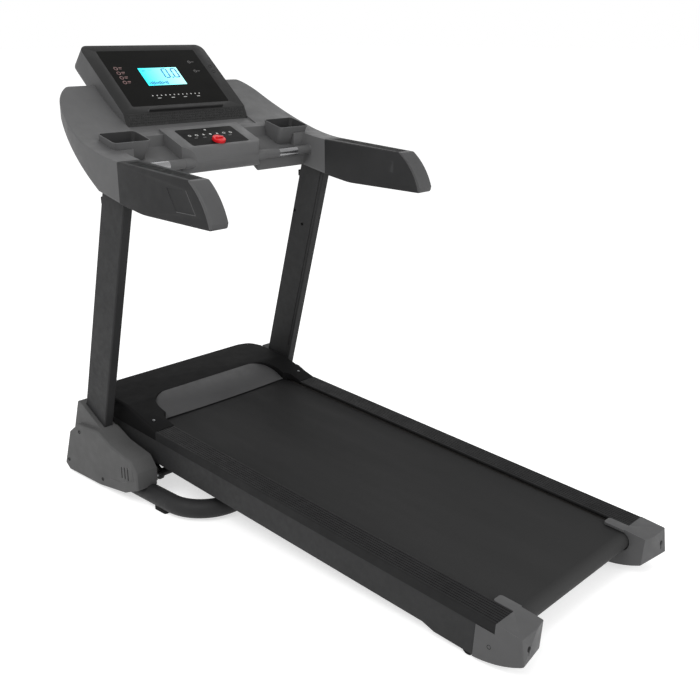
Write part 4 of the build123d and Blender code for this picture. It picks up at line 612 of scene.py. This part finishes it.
cups = roundedPieces["cup_holders"]
cups.data.materials.append(cupPaintedShade)
for face in cups.data.polygons:
    toCup = cupPlace(1 if face.center.x > 0 else -1).inverted()
    centre = toCup @ face.center
    facing = toCup.to_3x3() @ face.normal
    wallFace = facing.x * centre.x + facing.y * centre.y < -cupForm["inward"] * centre.xy.length
    floorFace = facing.z > cupForm["upward"] and centre.z < -cupForm["depth"] / 2
    face.material_index = 1 if centre.z < -cupForm["wall"] and (wallFace or floorFace) else 0
print("housing and cups two-toned")

# simple forms, modelled at the origin; a bevel that isn't given is a share of the form's least size
formEdges = {"blockShare": 0.2, "blockSegments": 2, "discShare": 0.12, "discSegments": 3,
             "ringFlatness": 0.3, "ringSegments": 28, "ringSides": 6}


def scaledBy(piece, scale):
    piece.scale = scale
    bpy.ops.object.transform_apply(location=False, rotation=False, scale=True)


def blockForm(size, bevel=None, segments=formEdges["blockSegments"]):
    clearSelection()
    bpy.ops.mesh.primitive_cube_add(size=1.0)
    piece = bpy.context.active_object
    scaledBy(piece, size)
    width = bevel or formEdges["blockShare"] * min(size)
    applyModifier(piece, "BEVEL", width=width, segments=segments, limit_method="NONE")
    return piece


def discForm(radius, depth, corners):
    clearSelection()
    bpy.ops.mesh.primitive_cylinder_add(vertices=corners, radius=radius, depth=depth)
    piece = bpy.context.active_object
    width = formEdges["discShare"] * min(radius, depth)
    applyModifier(piece, "BEVEL", width=width, segments=formEdges["discSegments"], limit_method="ANGLE")
    return piece


def sunkDiscForm(radius, depth, corners, rim, sink):
    clearSelection()
    bpy.ops.mesh.primitive_cylinder_add(vertices=corners, radius=radius, depth=depth)
    piece = bpy.context.active_object
    topFace = max(piece.data.polygons, key=lambda face: face.center.z).index
    bpy.ops.object.mode_set(mode="EDIT")
    bpy.ops.mesh.select_mode(type="FACE")
    bpy.ops.mesh.select_all(action="DESELECT")
    bpy.ops.object.mode_set(mode="OBJECT")
    piece.data.polygons[topFace].select = True
    bpy.ops.object.mode_set(mode="EDIT")
    bpy.ops.mesh.inset(thickness=rim, depth=-sink)
    bpy.ops.object.mode_set(mode="OBJECT")
    return piece


def ringForm(radius, thickness):
    clearSelection()
    segments, sides = formEdges["ringSegments"], formEdges["ringSides"]
    bpy.ops.mesh.primitive_torus_add(major_radius=radius, minor_radius=thickness,
                                     major_segments=segments, minor_segments=sides)
    piece = bpy.context.active_object
    scaledBy(piece, (1.0, 1.0, formEdges["ringFlatness"]))
    return piece


# a form is modelled once; it takes the first place, and copies with their own meshes take the others
def placedCopies(model, places):
    pieces = [model] + [duplicateOf(model) for _ in places[1:]]
    for piece, place in zip(pieces, places):
        piece.data.transform(place)
    return pieces


def joined(pieces):
    clearSelection()
    for piece in pieces:
        piece.select_set(True)
    bpy.context.view_layer.objects.active = pieces[0]
    if len(pieces) > 1:
        bpy.ops.object.join()
    return pieces[0]


def at(place, x, y, z=0.0):
    return place @ Matrix.Translation((x, y, z))


# both sides of the machine; outward 1 turns a form's top to the outside, -1 to the inside, 0 leaves it
def sidePlaces(place, x, y, z, outward=0):
    return [at(place, side * x, y, z) @ Matrix.Rotation(math.radians(90 * outward * side), 4, "Y")
            for side in (-1, 1)]


def outerFace(nodeName):
    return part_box(nodeName)[1].x


# print, as thin forms: its thickness, and how high its middle lies over the slope that carries it
markPrint = {"thickness": 0.0003, "rise": 0.0001}
lcdPrint = {"thickness": 0.0002, "rise": 0.0002}


def printedForms(model, points, slope, ink=markPrint):
    return placedCopies(model, [at(slope, x, y, ink["rise"]) for x, y in points])


def printedBars(size, points, slope, ink=markPrint):
    return printedForms(blockForm((*size, ink["thickness"])), points, slope, ink)


# two zeros and a point on the display; trims and shares are parts of the stroke
digits = {"height": 0.040, "width": 0.019, "stroke": 0.0058, "lefts": (0.006, 0.044), "low": 0.149,
          "capTrim": 0.6, "capShare": 0.8, "postTrim": 0.25, "point": (0.0065, 0.0065), "pointX": 0.0345}
quarter = digits["height"] / 4
capSize = (digits["width"] - digits["capTrim"] * digits["stroke"], digits["capShare"] * digits["stroke"])
capHeights = (digits["low"], digits["low"] + digits["height"])
capPoints = [(left + digits["width"] / 2, y) for left in digits["lefts"] for y in capHeights]
postSize = (digits["stroke"], 2 * quarter - digits["postTrim"] * digits["stroke"])
postHeights = (digits["low"] + quarter, digits["low"] + 3 * quarter)
postPoints = [(x, y) for left in digits["lefts"] for x in (left, left + digits["width"]) for y in postHeights]
digitBars = printedBars(capSize, capPoints, screenPlace, lcdPrint)
digitBars += printedBars(postSize, postPoints, screenPlace, lcdPrint)
digitBars += printedBars(digits["point"], [(digits["pointX"], digits["low"])], screenPlace, lcdPrint)
finishPiece(joined(digitBars), "lcdDigits", lcdInk, "lcd_panel")

# small words to the left of the digits, and a row of bars that rise and fall below them
labels = {"word": (0.016, 0.0022), "words": ((-0.066, 0.186), (-0.066, 0.181), (-0.04, 0.186)),
          "bars": 12, "barLeft": -0.072, "barStep": 0.0065, "barY": 0.126,
          "barWidth": 0.0045, "barLeast": 0.006, "barSwing": 0.010, "barWave": 0.7}
labelBars = printedBars(labels["word"], labels["words"], screenPlace, lcdPrint)
for step in range(labels["bars"]):
    height = labels["barLeast"] + labels["barSwing"] * abs(math.sin(step * labels["barWave"]))
    point = (labels["barLeft"] + step * labels["barStep"], labels["barY"])
    labelBars += printedBars((labels["barWidth"], height), [point], screenPlace, lcdPrint)
finishPiece(joined(labelBars), "lcdLabels", lcdInk, "lcd_panel")
print("display digits placed")

# touch marks on the screen: a column at the left, with two short words beside each ring
columnMark = {"heights": (0.197, 0.176, 0.155, 0.134), "ring": (0.0062, 0.0012), "ringX": -0.166,
              "upperWord": (0.013, 0.003), "upperX": -0.148, "lowerWord": (0.009, 0.002), "lowerX": -0.150,
              "offset": 0.003}
ringPoints = [(columnMark["ringX"], y) for y in columnMark["heights"]]
upperPoints = [(columnMark["upperX"], y + columnMark["offset"]) for y in columnMark["heights"]]
lowerPoints = [(columnMark["lowerX"], y - columnMark["offset"]) for y in columnMark["heights"]]
columnMarks = printedForms(ringForm(*columnMark["ring"]), ringPoints, screenPlace)
columnMarks += printedBars(columnMark["upperWord"], upperPoints, screenPlace)
columnMarks += printedBars(columnMark["lowerWord"], lowerPoints, screenPlace)
finishPiece(joined(columnMarks), "screenColumnMarks", warmMark, "display_glass")

# two faint marks at the right
sideMark = {"heights": (0.218, 0.174), "ring": (0.005, 0.001), "ringX": 0.144,
            "word": (0.012, 0.0018), "wordX": 0.158}
ringPoints = [(sideMark["ringX"], y) for y in sideMark["heights"]]
wordPoints = [(sideMark["wordX"], y) for y in sideMark["heights"]]
sideMarks = printedForms(ringForm(*sideMark["ring"]), ringPoints, screenPlace)
sideMarks += printedBars(sideMark["word"], wordPoints, screenPlace)
finishPiece(joined(sideMarks), "screenSideMarks", faintMark, "display_glass")

# a row of dots below the display, with words under some of them
rowMark = {"dots": 12, "dotRadius": 0.0024, "dotCorners": 16, "dotLeft": -0.095, "dotStep": 0.0173,
           "dotY": 0.070, "word": (0.013, 0.0024), "wordXs": (-0.075, -0.02, 0.03, 0.085), "wordY": 0.058}
dotXs = [rowMark["dotLeft"] + step * rowMark["dotStep"] for step in range(rowMark["dots"])]
dotPoints = [(x, rowMark["dotY"]) for x in dotXs]
dot = discForm(rowMark["dotRadius"], markPrint["thickness"], rowMark["dotCorners"])
rowMarks = printedForms(dot, dotPoints, screenPlace)
rowMarks += printedBars(rowMark["word"], [(x, rowMark["wordY"]) for x in rowMark["wordXs"]], screenPlace)
finishPiece(joined(rowMarks), "screenRowMarks", whiteMark, "display_glass")

# two round ports in the bezel's right side
port = {"radius": 0.0068, "depth": 0.0012, "corners": 28, "rim": 0.0016, "sink": 0.0014,
        "x": 0.222, "heights": (0.194, 0.169)}
portForm = sunkDiscForm(*(port[key] for key in ("radius", "depth", "corners", "rim", "sink")))
ports = placedCopies(portForm, [at(screenPlace, port["x"], y) for y in port["heights"]])
finishPiece(joined(ports), "housingPorts", deepBlack, "display_housing")

# key signs on the control panel: a cross above, then rings outside and three- and four-cornered signs inside
keySign = {"crossBars": ((0.003, 0.010), (0.009, 0.003)), "crossPoint": (0.0, 0.104), "y": 0.074,
           "ring": (0.0045, 0.0011), "ringXs": (-0.084, -0.056, 0.056, 0.084),
           "radius": 0.0058, "cornersAt": {3: (-0.028, 0.028), 4: (0.0,)}}
keyMarks = []
for size in keySign["crossBars"]:
    keyMarks += printedBars(size, [keySign["crossPoint"]], panelPlace)
ringPoints = [(x, keySign["y"]) for x in keySign["ringXs"]]
keyMarks += printedForms(ringForm(*keySign["ring"]), ringPoints, panelPlace)
for corners, signXs in keySign["cornersAt"].items():
    sign = discForm(keySign["radius"], markPrint["thickness"], corners)
    keyMarks += printedForms(sign, [(x, keySign["y"]) for x in signXs], panelPlace)
finishPiece(joined(keyMarks), "panelKeyMarks", whiteMark, "control_panel")

# faint words under the keys
keyLabel = {"word": (0.012, 0.0024), "xs": (-0.07, -0.035, 0.0, 0.035, 0.07), "y": 0.057}
keyLabels = printedBars(keyLabel["word"], [(x, keyLabel["y"]) for x in keyLabel["xs"]], panelPlace)
finishPiece(joined(keyLabels), "panelKeyLabels", faintMark, "control_panel")
print("touch marks placed")

# grip bar on the safety key
keyGrip = {"size": (0.030, 0.007, 0.005), "place": (0.0, 0.029, 0.0122), "bevel": 0.0022, "segments": 3}
gripForm = blockForm(keyGrip["size"], keyGrip["bevel"], keyGrip["segments"])
gripBar = placedCopies(gripForm, [at(panelPlace, *keyGrip["place"])])
finishPiece(joined(gripBar), "safetyKeyGrip", keyRed, "safety_key")

# screws: a low head with a sunk socket, in shares of the head's radius
screwHead = {"height": 0.5, "corners": 28, "rim": 0.48, "sink": 0.3, "bevel": 0.1, "segments": 2}
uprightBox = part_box("upright_right")
screwSets = {
    "baseCoverScrews": {
        "carrier": "base_cover_right", "finish": deepBlack, "radius": 0.0055, "place": worldPlace,
        "x": outerFace("base_cover_right"), "stand": 0.0002, "outward": 1, "tilt": 0.0,
        "points": ((0.2975, 0.170), (0.3813, 0.0441), (0.1751, 0.0366))},
    "rearCapScrews": {
        "carrier": "rear_cap_right", "finish": deepBlack, "radius": 0.0058, "place": deckPlace,
        "x": outerFace("rear_cap_right"), "stand": -0.0007, "outward": 1, "tilt": 0.0,
        "points": ((-1.3237, -0.0726),)},
    "hoodScrews": {
        "carrier": "motor_hood", "finish": plainSteel, "radius": 0.0042, "place": deckPlace,
        "x": 0.3285, "stand": 0.0, "outward": 0, "tilt": 0.222,
        "points": ((0.0512, 0.0136),)},
    "uprightScrews": {
        "carrier": "upright_right", "finish": deepBlack, "radius": 0.0052, "place": worldPlace,
        "x": uprightBox[0].x, "stand": -0.0003, "outward": -1, "tilt": 0.0,
        "points": ((0.1262, 0.8327), (0.0882, 0.7864))},
}


def screwForm(radius):
    depth, rim, sink, bevel = (radius * screwHead[key] for key in ("height", "rim", "sink", "bevel"))
    head = sunkDiscForm(radius, depth, screwHead["corners"], rim, sink)
    applyModifier(head, "BEVEL", width=bevel, segments=screwHead["segments"], limit_method="ANGLE")
    return head


for name, screws in screwSets.items():
    tilt = Matrix.Rotation(screws["tilt"], 4, "X")
    places = []
    for y, z in screws["points"]:
        sides = sidePlaces(screws["place"], screws["x"] + screws["stand"], y, z, screws["outward"])
        places += [side @ tilt for side in sides]
    heads = placedCopies(screwForm(screws["radius"]), places)
    finishPiece(joined(heads), name, screws["finish"], screws["carrier"])

# tabs near the uprights' tops, at the middle of their width
uprightTab = {"size": (0.018, 0.020, 0.022), "y": 0.102, "z": 0.970, "bevel": 0.002}
tabX = (uprightBox[0].x + uprightBox[1].x) / 2
tabPlaces = sidePlaces(worldPlace, tabX, uprightTab["y"], uprightTab["z"])
uprightTabs = placedCopies(blockForm(uprightTab["size"], uprightTab["bevel"]), tabPlaces)
finishPiece(joined(uprightTabs), "uprightTabs", deepBlack, "upright_right")
print("screws and tabs placed")

# collars where the pulse bars meet the pod and the wings, as x and length
pulseRing = {"radius": 0.0165, "corners": 40, "y": -0.0575, "z": 0.047,
             "collars": ((0.142, 0.052), (0.3765, 0.009))}
alongBar = Matrix.Rotation(math.radians(90), 4, "Y")
pulseRings = []
for x, length in pulseRing["collars"]:
    collar = discForm(pulseRing["radius"], length, pulseRing["corners"])
    sides = sidePlaces(consolePlace, x, pulseRing["y"], pulseRing["z"])
    pulseRings += placedCopies(collar, [side @ alongBar for side in sides])
finishPiece(joined(pulseRings), "pulseBarRings", greyPlastic, "pulse_bars")


# a raised line along corners given as y and z, on both sides
def trimLine(line, place):
    pieces = []
    for start, end in zip(line["corners"], line["corners"][1:]):
        middle = ((start[0] + end[0]) / 2, (start[1] + end[1]) / 2)
        rise = Matrix.Rotation(math.atan2(end[1] - start[1], end[0] - start[0]), 4, "X")
        length = math.dist(start, end) + line["overlap"]
        run = blockForm((line["depth"], length, line["width"]), line["bevel"])
        sides = sidePlaces(place, line["x"] + line["stand"], *middle)
        pieces += placedCopies(run, [side @ rise for side in sides])
    return joined(pieces)


# painted highlights: lighter lines along the recess in each handrail's outer face
recessHighlight = {"x": outerFace("handrail_right"), "stand": -0.0004, "depth": 0.0016, "width": 0.0022,
              "bevel": 0.0006, "overlap": 0.0,
              "corners": ((-0.444, 0.038), (-0.481, -0.024), (-0.398, -0.024))}
finishPiece(trimLine(recessHighlight, consolePlace), "handrailRecessHighlight", endCapPlastic, "handrail_right")

# beside the vents of each base cover
coverLine = {"x": outerFace("base_cover_right"), "stand": 0.0002, "depth": 0.0012, "width": 0.0022,
             "bevel": 0.0005, "overlap": 0.001,
             "corners": ((0.000, 0.128), (-0.006, 0.088), (0.060, 0.062), (0.132, 0.052))}
finishPiece(trimLine(coverLine, worldPlace), "baseCoverLines", coverPlastic, "base_cover_right")
print("trim lines placed")

# plugs in the front ends of the base tubes: a cap with a sunk face, and a spigot behind it
tubePlug = {"x": 0.405, "y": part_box("base_side_tubes")[1].y, "z": 0.035, "corners": 40, "radius": 0.0298,
            "cap": 0.004, "rim": 0.005, "sink": 0.0012, "spigotRadius": 0.0266, "spigot": 0.012}
tubeEnds = [side @ Matrix.Rotation(math.radians(-90), 4, "X")
            for side in sidePlaces(Matrix.Identity(4), tubePlug["x"], tubePlug["y"], tubePlug["z"])]
tubeCap = sunkDiscForm(*(tubePlug[key] for key in ("radius", "cap", "corners", "rim", "sink")))
tubePlugs = placedCopies(tubeCap, [at(end, 0, 0, tubePlug["cap"] / 2) for end in tubeEnds])
tubeSpigot = discForm(tubePlug["spigotRadius"], tubePlug["spigot"], tubePlug["corners"])
tubePlugs += placedCopies(tubeSpigot, [at(end, 0, 0, -tubePlug["spigot"] / 2) for end in tubeEnds])
finishPiece(joined(tubePlugs), "baseTubePlugs", blackPlastic, "base_feet")

# plugs in the front ends of the side frames: a plate, and a spigot behind it
framePlug = {"x": 0.337, "y": 0.350, "z": -0.072, "plate": (0.040, 0.003, 0.084), "bevel": 0.001,
             "spigot": (0.0345, 0.008, 0.0785)}
frameEnds = sidePlaces(deckPlace, framePlug["x"], framePlug["y"], framePlug["z"])
framePlate = blockForm(framePlug["plate"], framePlug["bevel"])
framePlugs = placedCopies(framePlate, [at(end, 0, framePlug["plate"][1] / 2) for end in frameEnds])
frameSpigot = blockForm(framePlug["spigot"])
framePlugs += placedCopies(frameSpigot, [at(end, 0, -framePlug["spigot"][1] / 2) for end in frameEnds])
finishPiece(joined(framePlugs), "sideFramePlugs", blackPlastic, "rear_feet")
print("end plugs placed")

# dark rubber mats in the cups: dark sheets that stand in for the shade at the cups' floors
cupShadeMat = {"size": (0.100, 0.060, 0.003), "drop": 0.0612, "bevel": 0.001}
matPlaces = [at(cupPlace(side), 0, 0, -cupShadeMat["drop"]) for side in (-1, 1)]
cupShadeMats = placedCopies(blockForm(cupShadeMat["size"], cupShadeMat["bevel"]), matPlaces)
finishPiece(joined(cupShadeMats), "cupShadeMats", blackRubber, "cup_holders")
print("cup mats placed")

# a pale floor
studioFloor = {"size": 160.0, "drop": 0.0005, "colour": (0.62, 0.62, 0.62), "shade": (0.6107, 0.6107, 0.6107),
               "noise": (1.5, 3.0), "glow": 1.0, "rough": 0.9}
bpy.ops.mesh.primitive_plane_add(size=studioFloor["size"], location=(0, 0, -studioFloor["drop"]))
floor = bpy.context.active_object
floor.name = "studioFloor"
floorMaterial, floorTree, floorShader, floorCoord = startFinish("studioFloorFinish")
floorTone = mottled(floorTree, noiseOf(floorTree, floorCoord, *studioFloor["noise"]), studioFloor)
for socket in ("Base Color", "Emission Color"):
    floorTree.links.new(floorTone, floorShader.inputs[socket])
setSockets(floorShader, {"Emission Strength": studioFloor["glow"], "Roughness": studioFloor["rough"],
                         "Specular IOR Level": 0.0})
floor.data.materials.append(floorMaterial)

# a white world, which gives less light than it shows to the camera, to metal and to glass
studioWorld = {"colour": (1.0, 1.0, 1.0), "light": 0.75, "shown": 1.0}
world = bpy.data.worlds.new("studioWorld")
bpy.context.scene.world = world
world.use_nodes = True
worldTree = world.node_tree
background = worldTree.nodes["Background"]
rays = addNode(worldTree, "ShaderNodeLightPath")
seen = rays.outputs["Is Camera Ray"]
for ray in ("Is Glossy Ray", "Is Transmission Ray"):
    seen = combined(worldTree, "MAXIMUM", seen, rays.outputs[ray])
level = spread(worldTree, seen, (studioWorld["light"], studioWorld["shown"]), (0.0, 1.0))
background.inputs["Color"].default_value = rgb(studioWorld["colour"])
worldTree.links.new(level, background.inputs["Strength"])

# soft lamps
lampPlan = [
    {"name": "keyLamp", "place": (-3.2, -0.6, 4.2), "aim": (0, 0.1, 0.5), "size": 2.6, "power": 116},
    {"name": "fillLamp", "place": (0.4, -4.4, 2.0), "aim": (0, -0.4, 0.3), "size": 2.4, "power": 60},
    {"name": "rimLamp", "place": (2.6, 3.0, 3.4), "aim": (0, 0.4, 0.8), "size": 2.4, "power": 22},
]
for lamp in lampPlan:
    bpy.ops.object.light_add(type="AREA", location=lamp["place"])
    light = bpy.context.active_object
    light.name = lamp["name"]
    light.data.size = lamp["size"]
    light.data.energy = lamp["power"]
    aim = Vector(lamp["aim"]) - Vector(lamp["place"])
    light.rotation_euler = aim.to_track_quat("-Z", "Y").to_euler()

# the camera, at the photograph's viewing angle; angles are in degrees, the lens and the sensor in millimetres
photoView = {"place": (-1.9978, -1.9391, 1.449), "azimuth": -46.82, "elevation": 18.41, "lens": 49.06,
             "sensorWidth": 36.0, "clipEnd": 300.0}
bpy.ops.object.camera_add(location=photoView["place"])
camera = bpy.context.active_object
camera.name = "photoCamera"
camera.rotation_euler = (math.radians(90 - photoView["elevation"]), 0, math.radians(photoView["azimuth"]))
camera.data.lens = photoView["lens"]
camera.data.sensor_width = photoView["sensorWidth"]
camera.data.clip_end = photoView["clipEnd"]
bpy.context.scene.camera = camera
bpy.context.scene.view_settings.view_transform = "Standard"
print("studio set")

clearSelection()
